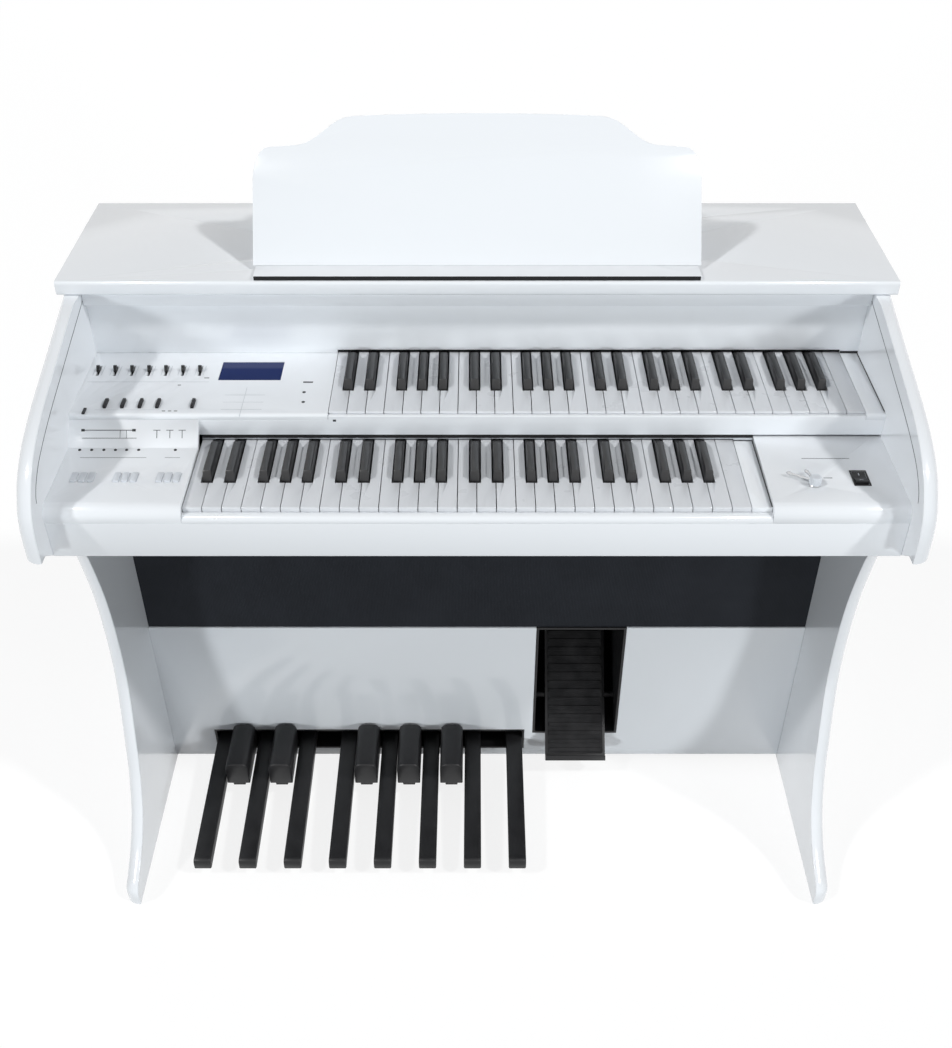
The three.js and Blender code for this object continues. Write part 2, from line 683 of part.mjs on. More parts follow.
// Steel tray under a manual, with a stop bar for the key heads and a ridge under each hinge rail
function chassisProfile(plate_z) {
  const ridge_z = -hinge.rail_bottom - fit_gap;
  const half = chassis.ridge_width / 2;
  const ridges = [chassis.stop_setback + half, ...[0, 1, 2].map(hingeRow)];
  const end = hingeRow(2) + hinge.rail_width / 2 + chassis.rear_margin;
  const points = [[chassis.front_setback, plate_z], [end, plate_z], [end, plate_z + chassis.plate]];
  ridges.reverse().forEach((y) => {
    points.push([y + half, plate_z + chassis.plate], [y + half, ridge_z]);
    points.push([y - half, ridge_z], [y - half, plate_z + chassis.plate]);
  });
  points.push([chassis.front_setback, plate_z + chassis.plate]);
  return outline(points);
}

function addManual(prefix, left_x, key_front_y, key_top_z, visible, tray) {
  const group = new THREE.Group();
  group.position.set(left_x, key_front_y, key_top_z);
  const { naturals, sharps } = keySlots();
  const in_first_comb = ({ step }) => (
    step < naturals_in_first_group ? step % 2 === 0 : (step - naturals_in_first_group) % 2 === 1
  );
  const first = naturals.filter(in_first_comb);
  const second = naturals.filter((key) => !in_first_comb(key));
  addPiece(`${prefix}_white_comb_a`, naturalComb(first, 0), natural_plastic, group);
  addPiece(`${prefix}_white_comb_b`, naturalComb(second, 1), natural_plastic, group);
  addPiece(`${prefix}_black_comb`, sharpComb(sharps, visible), sharp_plastic, group);
  addPiece(
    `${prefix}_key_chassis`,
    alongX(chassisProfile(tray.bottom_z - key_top_z), tray.left - left_x, tray.right - left_x),
    zinc_steel, group,
  );
  organ.add(group);
}

function addManuals() {
  addManual('lower', lower_left_x, lower_front_y, lower_key_top, rail_front_y - lower_front_y, {
    bottom_z: keybed_top_z, left: lower_left_x, right: lower_left_x + manual_width,
  });
  addManual('upper', upper_left_x, upper_front_y, upper_key_top, fallboard_y - upper_front_y, {
    bottom_z: rail_bottom_z, left: -inner_half, right: inner_half,
  });
}

// Lower front: speaker panel, kick panel with the pedal slot and the expression recess

function speakerPlaces() {
  const half = inner_half - speaker.from_side;
  return [-half, half];
}

function addSpeakers() {
  const pocket = (x) => {
    const length = panel.cloth - speaker.cloth_skin + cut_overrun;
    const form = new THREE.CylinderGeometry(speaker.cone_radius, speaker.cone_radius, length, round_steps);
    return form.translate(x, cloth_y + speaker.cloth_skin + length / 2, speaker_z);
  };
  const plate = box(-inner_half, inner_half, cloth_y, cloth_back_y, panel.kick_top, apron_bottom_z);
  addPiece('speaker_panel', cut(toSolid(plate), speakerPlaces().map(pocket)), speaker_cloth);
  const profile = [
    [0, speaker.cone_depth], [speaker.dome_radius, speaker.cone_depth], [speaker.cone_radius, 0],
    [speaker.rim_radius, 0], [speaker.rim_radius, speaker.rim_thickness],
    [speaker.cone_radius, speaker.rim_thickness], [speaker.basket_radius, speaker.basket_depth],
    [speaker.magnet_radius, speaker.basket_depth], [speaker.magnet_radius, speaker.depth],
    [0, speaker.depth],
  ].map(([radius, depth]) => new THREE.Vector2(radius, depth));
  const names = ['left_speaker', 'right_speaker'];
  speakerPlaces().forEach((x, i) => {
    const form = new THREE.LatheGeometry(profile, round_steps);
    form.translate(x, cloth_back_y + fit_gap, speaker_z);
    addPiece(names[i], form, black_plastic);
  });
}

function addKickPanel() {
  const face = outline([
    [-inner_half, panel.floor_gap], [inner_half, panel.floor_gap], [inner_half, panel.kick_top],
    [recess_right_x, panel.kick_top], [recess_right_x, recess.bottom], [recess_left_x, recess.bottom],
    [recess_left_x, panel.kick_top], [-inner_half, panel.kick_top],
  ]);
  face.holes.push(outline([
    [slot_left_x, pedal_frame.bottom], [slot_left_x, pedal_frame.top], [slot_right_x, pedal_frame.top],
    [slot_right_x, pedal_frame.bottom],
  ]));
  addPiece('kick_panel', alongY(face, kick_y, kick_back_y), white_lacquer);
}

function addExpressionPedal() {
  const { wall } = recess;
  const back = kick_y + recess.depth;
  const shell = box(recess_left_x, recess_right_x, kick_y, back, recess.bottom, panel.kick_top);
  const hollow = box(
    recess_left_x + wall, recess_right_x - wall, kick_y - cut_overrun, back - wall, recess.bottom + wall,
    panel.kick_top - wall,
  );
  addPiece('expression_housing', cut(toSolid(shell), [hollow]), black_plastic);
  const { heel, toe, plate, plate_offset, rim_length, rim_height } = expression;
  const top = plate_offset + plate;
  const rim_top = top + rim_height;
  const side = outline([
    [-heel, plate_offset], [toe, plate_offset], [toe, rim_top], [toe - rim_length, rim_top],
    [toe - rim_length, top], [-heel + rim_length, top], [-heel + rim_length, rim_top], [-heel, rim_top],
  ]);
  const half = expression.width / 2;
  const boss = expression.boss_width / 2;
  const axle_half = recess.width / 2 - wall - fit_gap;
  const axle = new THREE.CylinderGeometry(
    expression.axle_radius, expression.axle_radius, 2 * axle_half, round_steps,
  ).rotateZ(Math.PI / 2);
  const pedal = joined([
    alongX(side, -half, half), box(-half, half, -boss, boss, 0, plate_offset + weld), axle,
  ]);
  const group = new THREE.Group();
  group.position.set(
    (recess_left_x + recess_right_x) / 2, kick_y + expression.pivot_setback,
    recess.bottom + expression.pivot_rise,
  );
  group.rotation.x = THREE.MathUtils.degToRad(expression.slope_degrees);
  addPiece('expression_pedal', pedal, black_plastic, group);
  organ.add(group);
}

function addLowerCase() {
  addPiece('bottom_board', box(
    -inner_half, inner_half, kick_back_y, back_front_y, panel.floor_gap, bottom_top_z,
  ), grey_paint);
  const slots = [];
  const vent_x = inner_half - vent.from_side;
  [-vent_x, vent_x].forEach((x) => {
    for (let row = 0; row < vent.rows; row += 1) {
      const z = case_top_z - vent.top_drop + (row - (vent.rows - 1) / 2) * vent.pitch;
      slots.push(box(
        x - vent.width / 2, x + vent.width / 2, back_front_y - cut_overrun, case_back_y + cut_overrun,
        z - vent.height / 2, z + vent.height / 2,
      ));
    }
  });
  const inlet_x = -inner_half + inlet.from_side;
  const inlet_low_z = inlet.centre_height - inlet.height / 2;
  slots.push(box(
    inlet_x - inlet.width / 2, inlet_x + inlet.width / 2, case_back_y - inlet.depth,
    case_back_y + cut_overrun, inlet_low_z, inlet_low_z + inlet.height,
  ));
  const board = box(-inner_half, inner_half, back_front_y, case_back_y, panel.floor_gap, case_top_z);
  addPiece('back_panel', cut(toSolid(board), slots), grey_paint);
}

// Pedalboard

function naturalPedal(x) {
  const shape = new THREE.Shape();
  const top_z = pedals.front_bottom + pedals.front_thickness;
  const end_y = pedal_hinge_y + pedals.tail;
  shape.moveTo(pedal_front_y, pedals.front_bottom);
  shape.lineTo(kick_y, pedals.bottom);
  shape.lineTo(end_y, pedals.bottom);
  shape.lineTo(end_y, pedals.bottom + pedals.thickness);
  shape.lineTo(kick_y, pedals.bottom + pedals.thickness);
  shape.lineTo(pedal_front_y + pedals.nose_radius, top_z);
  shape.quadraticCurveTo(pedal_front_y, top_z, pedal_front_y, top_z - pedals.nose_radius);
  return alongX(shape, x - pedals.natural_width / 2, x + pedals.natural_width / 2, pedals.edge);
}

function sharpPedal(x) {
  const block_back = kick_y - raised.panel_gap;
  const block_front = block_back - raised.reach;
  const half = raised.width / 2;
  const low_z = pedals.bottom + raised.lift;
  const shape = new THREE.Shape();
  shape.moveTo(x - half, low_z);
  shape.lineTo(x + half, low_z);
  shape.lineTo(x + half, raised.top - raised.round);
  shape.quadraticCurveTo(x + half, raised.top, x + half - raised.round, raised.top);
  shape.lineTo(x - half + raised.round, raised.top);
  shape.quadraticCurveTo(x - half, raised.top, x - half, raised.top - raised.round);
  const arm = box(
    x - raised.arm_width / 2, x + raised.arm_width / 2, block_front + pedals.edge * 2,
    pedal_hinge_y + pedals.tail, pedals.bottom, pedals.bottom + pedals.thickness,
  );
  return joined([alongY(shape, block_front, block_back, pedals.edge), arm]);
}

function addPedals() {
  let naturals_so_far = 0;
  for (let i = 0; i < pedals.count; i += 1) {
    const name = `pedal_${String(i + 1).padStart(2, '0')}`;
    const step = i % steps_per_octave;
    const in_group = step < steps_in_first_group ? step : step - steps_in_first_group;
    const natural_x = pedal_first_x + naturals_so_far * pedals.natural_pitch;
    if (in_group % 2 === 1) {
      addPiece(name, sharpPedal(natural_x - pedals.natural_pitch / 2), black_plastic);
    } else {
      addPiece(name, naturalPedal(natural_x), black_plastic);
      naturals_so_far += 1;
    }
  }
  const plate_end = pedal_hinge_y + pedal_frame.rear_margin;
  const ridge = pedal_frame.ridge_width / 2;
  const { wall } = pedal_frame;
  const frame_back = kick_y + pedal_frame.depth;
  const ring = cut(
    toSolid(box(slot_left_x, slot_right_x, kick_y, frame_back, pedal_frame.bottom, pedal_frame.top)),
    [box(
      slot_left_x + wall, slot_right_x - wall, kick_y - cut_overrun, frame_back + cut_overrun,
      pedal_frame.bottom + wall, pedal_frame.top - wall,
    )],
  );
  const base = joined([
    box(slot_left_x, slot_right_x, kick_back_y, plate_end, bottom_top_z, bottom_top_z + pedal_frame.plate),
    box(
      slot_left_x, slot_right_x, pedal_hinge_y - ridge, pedal_hinge_y + ridge, bottom_top_z,
      pedals.bottom - fit_gap,
    ),
  ]);
  addPiece('pedal_chassis', ring.add(base), black_plastic);
}

// Music stand: a shaped board that leans back on a footed ledge, which two pins hold in the top board.
// Shoulder points of the board, as shares of its half width and of its height.

const corner_shares = [[0.99, 0.765], [0.93, 0.778]];
const shoulder_shares = [0.8, 0.792];
const sweep_shares = [[0.7, 0.81], [0.66, 0.975], [0.55, 0.982]];
const crown_share = 1.018;

function musicOutline() {
  const at = (shares, sign) => [sign * shares[0] * music.half_width, shares[1] * music.height];
  const shape = new THREE.Shape();
  shape.moveTo(-music.half_width, -music.thickness);
  shape.lineTo(music.half_width, -music.thickness);
  shape.lineTo(music.half_width, music.straight_side);
  shape.quadraticCurveTo(...corner_shares.flatMap((shares) => at(shares, 1)));
  shape.lineTo(...at(shoulder_shares, 1));
  shape.bezierCurveTo(...sweep_shares.flatMap((shares) => at(shares, 1)));
  const [sweep_start, sweep_bend, sweep_end] = sweep_shares;
  shape.quadraticCurveTo(0, crown_share * music.height, ...at(sweep_end, -1));
  shape.bezierCurveTo(...at(sweep_bend, -1), ...at(sweep_start, -1), ...at(shoulder_shares, -1));
  shape.lineTo(...at(corner_shares[1], -1));
  shape.quadraticCurveTo(...at(corner_shares[0], -1), -music.half_width, music.straight_side);
  return shape;
}

function addMusicStand() {
  const rise = Math.cos(lean);
  const run = Math.sin(lean);
  const board_bottom_z = stand_top_z + fit_gap;
  const board = extruded(musicOutline(), music.thickness, 0, arc_steps * 2).applyMatrix4(
    new THREE.Matrix4().set(
      1, 0, 0, 0,
      0, run, -rise, board_y + music.thickness * rise,
      0, rise, run, board_bottom_z - music.thickness * run,
      0, 0, 0, 1,
    ),
  );
  const reach = music.half_width + cut_overrun;
  const below = box(
    -reach, reach, stand_front_y - music.height, board_y + music.height,
    board_bottom_z - 2 * music.thickness - cut_overrun, board_bottom_z,
  );
  addPiece('music_desk', cut(toSolid(board), [below]), white_lacquer);
  const foot = box(
    -music.foot_half, music.foot_half, stand_front_y, stand_front_y + music.foot_depth, case_height,
    stand_top_z,
  );
  const slant = run / rise;
  const foot_y = board_y + (music.thickness + fit_gap) / rise - music.foot_thickness * slant;
  const half = bracket.width / 2;
  const wedge = outline([
    [foot_y, case_height], [foot_y + bracket.foot, case_height],
    [foot_y + bracket.height * slant, case_height + bracket.height],
  ]);
  const props = pinPlaces().flatMap(([x, y]) => [
    alongX(wedge, x - half, x + half),
    upright(bracket.pin_radius, x, y, case_height - bracket.pin_length, case_height + weld),
  ]);
  addPiece('music_ledge', joined([foot, ...props]), white_lacquer);
}

// Controls. Sliders are held in slots of the upper deck between a cap above it and a shoe below it.

function upperDeckX(share) {
  return share * upper_deck_width - inner_half;
}

function sliderPlaces() {
  return Array.from({ length: slider.count }, (_, i) => [
    upperDeckX(slider.first_share + i * slider.pitch_share), fallboard_y - slider.setback,
  ]);
}

function tabPlaces() {
  return tab_steps.map((step) => [
    upperDeckX(tab.first_share + step * tab.pitch_share), fallboard_y - tab.setback,
  ]);
}

function lcdPlace() {
  return [upperDeckX(lcd.left_share + lcd.width_share / 2), fallboard_y - lcd.setback - lcd.length / 2];
}

function buttonPlaces() {
  const places = [];
  for (let group = 0; group < button.groups; group += 1) {
    for (let i = 0; i < button.per_group; i += 1) {
      const in_group = i - (button.per_group - 1) / 2;
      const share = button.first_share + group * button.group_share + in_group * button.pitch_share;
      places.push([share * lower_deck_width - inner_half, apron_front_y + button.setback]);
    }
  }
  return places;
}

function knobPlace() {
  return [inner_half - knob.side_share * lower_deck_width, apron_front_y + knob.setback];
}

function rockerPlace() {
  return [inner_half - rocker.side_share * lower_deck_width, apron_front_y + rocker.setback];
}

function around(x, y, width, length, z0, z1) {
  return box(x - width / 2, x + width / 2, y - length / 2, y + length / 2, z0, z1);
}

function addSliders() {
  const cap_z = upper_key_top + fit_gap;
  const shoe_z = upper_deck_bottom_z - fit_gap;
  sliderPlaces().forEach(([x, y], i) => {
    const x0 = x - slider.cap_width / 2;
    const x1 = x + slider.cap_width / 2;
    const y0 = y - slider.cap_length / 2;
    const y1 = y + slider.cap_length / 2;
    const pinch = slider.pinch_share * slider.cap_length;
    const cap = lofted([
      level(x0, x1, y0, y1, cap_z), level(x0, x1, y0 + pinch, y1 - pinch, cap_z + slider.cap_height),
    ]);
    const stem = around(
      x, y, slider.stem_width, slider.stem_length, shoe_z - weld, cap_z + weld,
    );
    const shoe = around(
      x, y, slider.shoe_width, slider.shoe_length, shoe_z - slider.shoe_thickness, shoe_z,
    );
    addPiece(`slider_${i + 1}`, joined([cap, stem, shoe]), black_plastic);
  });
}

function addTabs() {
  const web_z = upper_deck_bottom_z - fit_gap;
  const places = tabPlaces();
  const [first_x, web_y] = places[0];
  const last_x = places[places.length - 1][0];
  const half = tab.web_width / 2;
  const web = box(
    first_x - tab.web_margin, last_x + tab.web_margin, web_y - half, web_y + half,
    web_z - tab.web_thickness, web_z,
  );
  const end = tab.length / 2;
  const tips = places.map(([x, y]) => {
    const slab = (y0, y1, z) => level(x - tab.width / 2, x + tab.width / 2, y + y0, y + y1, z);
    return lofted([
      slab(-half, half, web_z - weld), slab(-half, half, upper_deck_bottom_z),
      slab(-end, end, upper_deck_bottom_z + fit_gap), slab(-end, end, upper_key_top + tab.rise / 2),
      level(
        x - tab.tip_width / 2, x + tab.tip_width / 2, y - end, y + tab.tip_back, upper_key_top + tab.rise,
      ),
    ]);
  });
  addPiece('tab_strip', joined([web, ...tips]), black_plastic);
}

function addDisplay() {
  const [x, y] = lcdPlace();
  const width = lcd.width_share * upper_deck_width;
  const top_z = upper_key_top - lcd.sink;
  const flange_z = upper_deck_bottom_z - fit_gap;
  const flange = around(
    x, y, width + 2 * lcd.flange, lcd.length + 2 * lcd.flange, flange_z - lcd.flange_thickness, flange_z,
  );
  addPiece('display', joined([
    around(x, y, width, lcd.length, top_z - lcd.thickness, top_z), flange,
  ]), display_glass);
}

function addButtons() {
  const web_z = lower_deck_bottom_z - fit_gap;
  const places = buttonPlaces();
  const [first_x, y] = places[0];
  const last_x = places[places.length - 1][0];
  const width = button.width_share * lower_deck_width;
  const margin = width / 2 + button.web_margin;
  const half = button.web_width / 2;
  const web = box(
    first_x - margin, last_x + margin, y - half, y + half, web_z - button.web_thickness, web_z,
  );
  const caps = places.map(([x]) => around(
    x, y, width, button.length, web_z - weld, lower_deck_top_z + button.rise,
  ));
  addPiece('button_mat', joined([web, ...caps]), button_plastic);
}

function addKnob() {
  const [x, y] = knobPlace();
  const base_z = lower_deck_top_z + fit_gap;
  const low_z = lower_deck_bottom_z - knob.stem_below;
  const profile = [
    [0, low_z], [knob.stem_radius, low_z], [knob.stem_radius, base_z], [knob.radius, base_z],
    [knob.radius, base_z + knob.height - knob.crown], [knob.radius - knob.crown, base_z + knob.height],
    [0, base_z + knob.height],
  ].map(([radius, height]) => new THREE.Vector2(radius, height));
  const body = new THREE.LatheGeometry(profile, round_steps).rotateX(Math.PI / 2).translate(x, y, 0);
  const prong_z = base_z + knob.prong_height;
  const prongs = [[knob.long_reach, knob.long_degrees], [knob.short_reach, knob.short_degrees]];
  const arms = prongs.flatMap(([reach, degrees]) => {
    const angle = THREE.MathUtils.degToRad(degrees);
    const length = reach - knob.radius / 2;
    const middle = (reach + knob.radius / 2) / 2;
    const rod = new THREE.CylinderGeometry(knob.prong_radius, knob.prong_radius, length, arc_steps * 2)
      .rotateZ(Math.PI / 2).translate(middle, 0, 0).rotateZ(angle).translate(x, y, prong_z);
    const tip = new THREE.SphereGeometry(knob.tip_radius, arc_steps * 3, arc_steps * 2)
      .translate(reach, 0, 0).rotateZ(angle).translate(x, y, prong_z);
    return [rod, tip];
  });
  addPiece('volume_knob', joined([body, ...arms]), chrome_metal);
}

function addRocker() {
  const [x, y] = rockerPlace();
  const end = rocker.length / 2 - rocker.end_gap;
  const foot = end - rocker.foot_inset;
  const side = outline([
    [-end, -rocker.depth / 2], [-foot, -rocker.depth], [foot, -rocker.depth], [end, -rocker.depth / 2],
    [end, rocker.height], [0, rocker.height - rocker.ridge_drop], [-end, rocker.height],
  ]);
  const half = rocker.width / 2 - rocker.side_gap;
  const group = new THREE.Group();
  group.position.set(x, y, lower_deck_top_z - rocker.pivot_drop);
  group.rotation.x = THREE.MathUtils.degToRad(-rocker.tilt_degrees);
  addPiece('power_rocker', alongX(side, -half, half), black_plastic, group);
  organ.add(group);
}

// Electronics

function addElectronics() {
  const supply_right = inner_half - power_supply.from_side;
  const supply_back = back_front_y - power_supply.wall_gap;
  addPiece('power_supply', box(
    supply_right - power_supply.width, supply_right, supply_back - power_supply.depth, supply_back,
    bottom_top_z, bottom_top_z + power_supply.height,
  ), zinc_steel);
  const board_back = back_front_y - main_board.post_length;
  const board_front = board_back - main_board.thickness;
  const board_top_z = case_top_z - main_board.top_drop;
  const middle_z = board_top_z - main_board.height / 2;
  const half = main_board.width / 2;
  const forms = [box(
    -half, half, board_front, board_back, board_top_z - main_board.height, board_top_z,
  )];
  const post_x = half - main_board.inset - main_board.post_size / 2;
  const post_z = main_board.height / 2 - main_board.inset - main_board.post_size / 2;
  const post = main_board.post_size / 2;
  [-post_x, post_x].forEach((x) => [-post_z, post_z].forEach((z) => {
    forms.push(box(
      x - post, x + post, board_back - weld, back_front_y, middle_z + z - post, middle_z + z + post,
    ));
  }));
  for (let i = 0; i < board_parts.count; i += 1) {
    const x = (i - (board_parts.count - 1) / 2) * board_parts.pitch;
    forms.push(box(
      x - board_parts.width / 2, x + board_parts.width / 2, board_front - board_parts.depth,
      board_front + weld, middle_z - board_parts.height / 2, middle_z + board_parts.height / 2,
    ));
  }
  addPiece('main_board', joined(forms), board_green);
}

addSidePanels();
addTopBoard();
addFallboard();
addUpperFrontRail();
addEndBlocks();
addLowerFront();
addUpperDeck();
addLowerLeftDeck();
addLowerRightDeck();
addManuals();
addSpeakers();
addKickPanel();
addExpressionPedal();
addLowerCase();
addPedals();
addMusicStand();
addSliders();
addTabs();
addDisplay();
addButtons();
addKnob();
addRocker();
addElectronics();

export default organ;
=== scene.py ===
"""Looks of a two-manual electronic home organ: materials, small pieces, camera and light.

Metres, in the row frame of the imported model: +Z up, the player sits on the -Y side.
"""
import json
import math

import bmesh
import bpy
from mathutils import Matrix, Vector


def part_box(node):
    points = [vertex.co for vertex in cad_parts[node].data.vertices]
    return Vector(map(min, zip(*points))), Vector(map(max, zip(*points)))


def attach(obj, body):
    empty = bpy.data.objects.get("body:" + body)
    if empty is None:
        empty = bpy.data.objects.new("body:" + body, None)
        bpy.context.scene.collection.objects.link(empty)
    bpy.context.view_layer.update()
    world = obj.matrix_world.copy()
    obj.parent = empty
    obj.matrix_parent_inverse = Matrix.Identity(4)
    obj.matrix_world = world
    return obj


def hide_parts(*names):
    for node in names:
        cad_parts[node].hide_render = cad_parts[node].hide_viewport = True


MM = 0.001
TAU = 2 * math.pi

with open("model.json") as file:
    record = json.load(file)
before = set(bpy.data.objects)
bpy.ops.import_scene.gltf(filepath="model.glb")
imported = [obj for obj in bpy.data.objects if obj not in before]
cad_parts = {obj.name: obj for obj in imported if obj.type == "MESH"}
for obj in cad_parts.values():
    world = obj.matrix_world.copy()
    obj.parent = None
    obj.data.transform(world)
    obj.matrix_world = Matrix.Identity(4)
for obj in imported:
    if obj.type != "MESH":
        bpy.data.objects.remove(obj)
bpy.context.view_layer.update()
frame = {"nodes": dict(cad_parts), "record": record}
nodes = frame["nodes"]

# Heights and depths of the solids that the pieces sit on, in millimetres
UPPER_TOP = 777.0
LOWER_TOP = 743.0
BLOCK_TOP = 737.0
BACK_Y = 262.0
# How far printed lines and dots stand out of their surface
MARK_RISE = 0.15


# Material building


class Paint:
    """One Principled material with object coordinates, so that its detail stays with the piece."""

    def __init__(self, name, color, roughness, **values):
        self.material = bpy.data.materials.new(name)
        self.material.use_nodes = True
        self.tree = self.material.node_tree
        self.shader = self.tree.nodes["Principled BSDF"]
        self.color = color
        self.shader.inputs["Base Color"].default_value = (*color, 1)
        self.shader.inputs["Roughness"].default_value = roughness
        for key, value in values.items():
            self.shader.inputs[key.replace("_", " ").title().replace("Ior", "IOR")].default_value = value
        self.place = self.node("ShaderNodeTexCoord").outputs["Object"]

    def node(self, kind, **settings):
        made = self.tree.nodes.new(kind)
        for key, value in settings.items():
            setattr(made, key, value)
        return made

    def link(self, source, target):
        self.tree.links.new(source, target)

    def stretched(self, scale):
        made = self.node("ShaderNodeMapping")
        made.inputs["Scale"].default_value = scale
        self.link(self.place, made.inputs["Vector"])
        return made.outputs["Vector"]

    def noise(self, scale, detail=2.0, vector=None):
        made = self.node("ShaderNodeTexNoise")
        made.inputs["Scale"].default_value = scale
        made.inputs["Detail"].default_value = detail
        self.link(vector or self.place, made.inputs["Vector"])
        return made.outputs["Fac"]

    def ranged(self, value, low, high, start=0.3, end=0.7):
        made = self.node("ShaderNodeMapRange")
        made.inputs["From Min"].default_value = start
        made.inputs["From Max"].default_value = end
        made.inputs["To Min"].default_value = low
        made.inputs["To Max"].default_value = high
        self.link(value, made.inputs["Value"])
        return made.outputs["Result"]

    def mixed(self, factor, first, second):
        """Mixes two colours, each a tuple or a socket."""
        made = self.node("ShaderNodeMix", data_type="RGBA")
        self.link(factor, made.inputs["Factor"])
        for name, value in (("A", first), ("B", second)):
            socket = [s for s in made.inputs if s.name == name and s.type == "RGBA"][0]
            if isinstance(value, tuple):
                socket.default_value = (*value, 1)
            else:
                self.link(value, socket)
        return [s for s in made.outputs if s.type == "RGBA"][0]

    def vary_color(self, scale, spread, detail=3.0):
        dark = tuple(c * (1 - spread) for c in self.color)
        light = tuple(min(1.0, c * (1 + spread)) for c in self.color)
        mix = self.mixed(self.ranged(self.noise(scale, detail), 0.0, 1.0), dark, light)
        self.link(mix, self.shader.inputs["Base Color"])
        return mix

    def vary_roughness(self, scale, low, high, vector=None):
        self.link(self.ranged(self.noise(scale, 3.0, vector), low, high), self.shader.inputs["Roughness"])

    def bump(self, height, depth, strength=1.0):
        made = self.node("ShaderNodeBump")
        made.inputs["Distance"].default_value = depth
        made.inputs["Strength"].default_value = strength
        self.link(height, made.inputs["Height"])
        self.link(made.outputs["Normal"], self.shader.inputs["Normal"])


def lacquer(name, color, roughness=0.2):
    paint = Paint(name, color, roughness, coat_weight=0.6, coat_roughness=0.06, specular_ior_level=0.4)
    paint.vary_color(2.6, 0.008)
    paint.vary_roughness(9.0, roughness * 0.9, roughness * 1.15)
    paint.bump(paint.noise(160.0, 2.0), 0.00004, 0.35)
    return paint.material


def moulded(name, color, roughness, grain=900.0, depth=0.00004, spread=0.06):
    paint = Paint(name, color, roughness, specular_ior_level=0.4)
    paint.vary_color(60.0, spread)
    paint.vary_roughness(45.0, roughness * 0.85, roughness * 1.15)
    paint.bump(paint.noise(grain, 2.0), depth, 0.5)
    return paint.material


def speaker_cloth():
    paint = Paint(
        "speaker_cloth", (0.019, 0.021, 0.026), 0.92, specular_ior_level=0.15,
        sheen_weight=0.12, sheen_roughness=0.5,
    )
    threads = []
    for axis in ("X", "Z"):
        wave = paint.node("ShaderNodeTexWave", wave_type="BANDS", bands_direction=axis)
        wave.inputs["Scale"].default_value = 140.0
        wave.inputs["Distortion"].default_value = 0.6
        paint.link(paint.place, wave.inputs["Vector"])
        threads.append(wave.outputs["Fac"])
    weave = paint.node("ShaderNodeMath", operation="MULTIPLY")
    paint.link(threads[0], weave.inputs[0])
    paint.link(threads[1], weave.inputs[1])
    blotch = paint.vary_color(14.0, 0.12)
    light = tuple(c * 1.5 for c in paint.color)
    mix = paint.mixed(paint.ranged(weave.outputs["Value"], 0.0, 0.55, 0.1, 0.9), blotch, light)
    paint.link(mix, paint.shader.inputs["Base Color"])
    paint.bump(weave.outputs["Value"], 0.00025, 0.6)
    return paint.material


def felt(name, color):
    paint = Paint(name, color, 0.95, specular_ior_level=0.1, sheen_weight=0.2, sheen_roughness=0.6)
    paint.vary_color(500.0, 0.25)
    paint.bump(paint.noise(1500.0, 4.0), 0.0002, 0.7)
    return paint.material


def key_plastic():
    paint = Paint(
        "key_plastic", (0.71, 0.73, 0.76), 0.3, coat_weight=0.25, coat_roughness=0.12,
        specular_ior_level=0.45,
    )
    paint.vary_color(7.0, 0.02)
    paint.vary_roughness(30.0, 0.26, 0.36)
    paint.bump(paint.noise(700.0, 3.0), 0.00002, 0.4)
    return paint.material


def sharp_plastic():
    paint = Paint(
        "sharp_plastic", (0.014, 0.014, 0.015), 0.34, coat_weight=0.2, coat_roughness=0.2,
        specular_ior_level=0.5,
    )
    grain = paint.stretched((900.0, 60.0, 900.0))
    paint.vary_color(40.0, 0.25)
    paint.vary_roughness(1.0, 0.28, 0.46, grain)
    paint.bump(paint.noise(1.0, 3.0, grain), 0.00005, 0.5)
    return paint.material


def brushed_metal(name, color, roughness, stretch=(30.0, 900.0, 900.0)):
    paint = Paint(name, color, roughness, metallic=1.0)
    grain = paint.stretched(stretch)
    paint.vary_color(12.0, 0.05)
    paint.vary_roughness(1.0, roughness * 0.75, roughness * 1.3, grain)
    paint.bump(paint.noise(1.0, 3.0, grain), 0.00003, 0.4)
    return paint.material


def display_window(top_y, low_y):
    paint = Paint(
        "display_window", (0.014, 0.026, 0.105), 0.3, coat_weight=0.0, specular_ior_level=0.05,
    )
    split = paint.node("ShaderNodeSeparateXYZ")
    paint.link(paint.place, split.inputs["Vector"])
    # Painted light and shade: the window's blue is darker at its front and lighter towards its back edge
    painted_light_ramp = paint.ranged(split.outputs["Y"], 0.0, 1.0, low_y, top_y)
    mix = paint.mixed(painted_light_ramp, (0.012, 0.024, 0.105), (0.046, 0.058, 0.14))
    paint.link(mix, paint.shader.inputs["Base Color"])
    paint.bump(paint.noise(400.0, 1.0), 0.00001, 0.2)
    return paint.material


def circuit_green():
    paint = Paint("circuit_green", (0.012, 0.09, 0.04), 0.45, specular_ior_level=0.5)
    tracks = paint.node("ShaderNodeTexBrick")
    tracks.inputs["Scale"].default_value = 120.0
    tracks.inputs["Color1"].default_value = (0.012, 0.09, 0.04, 1)
    tracks.inputs["Color2"].default_value = (0.01, 0.07, 0.03, 1)
    tracks.inputs["Mortar"].default_value = (0.03, 0.16, 0.07, 1)
    turned = paint.node("ShaderNodeMapping")
    turned.inputs["Rotation"].default_value = (math.pi / 2, 0, 0)
    paint.link(paint.place, turned.inputs["Vector"])
    paint.link(turned.outputs["Vector"], tracks.inputs["Vector"])
    paint.link(tracks.outputs["Color"], paint.shader.inputs["Base Color"])
    paint.bump(tracks.outputs["Fac"], 0.00005, 0.4)
    return paint.material


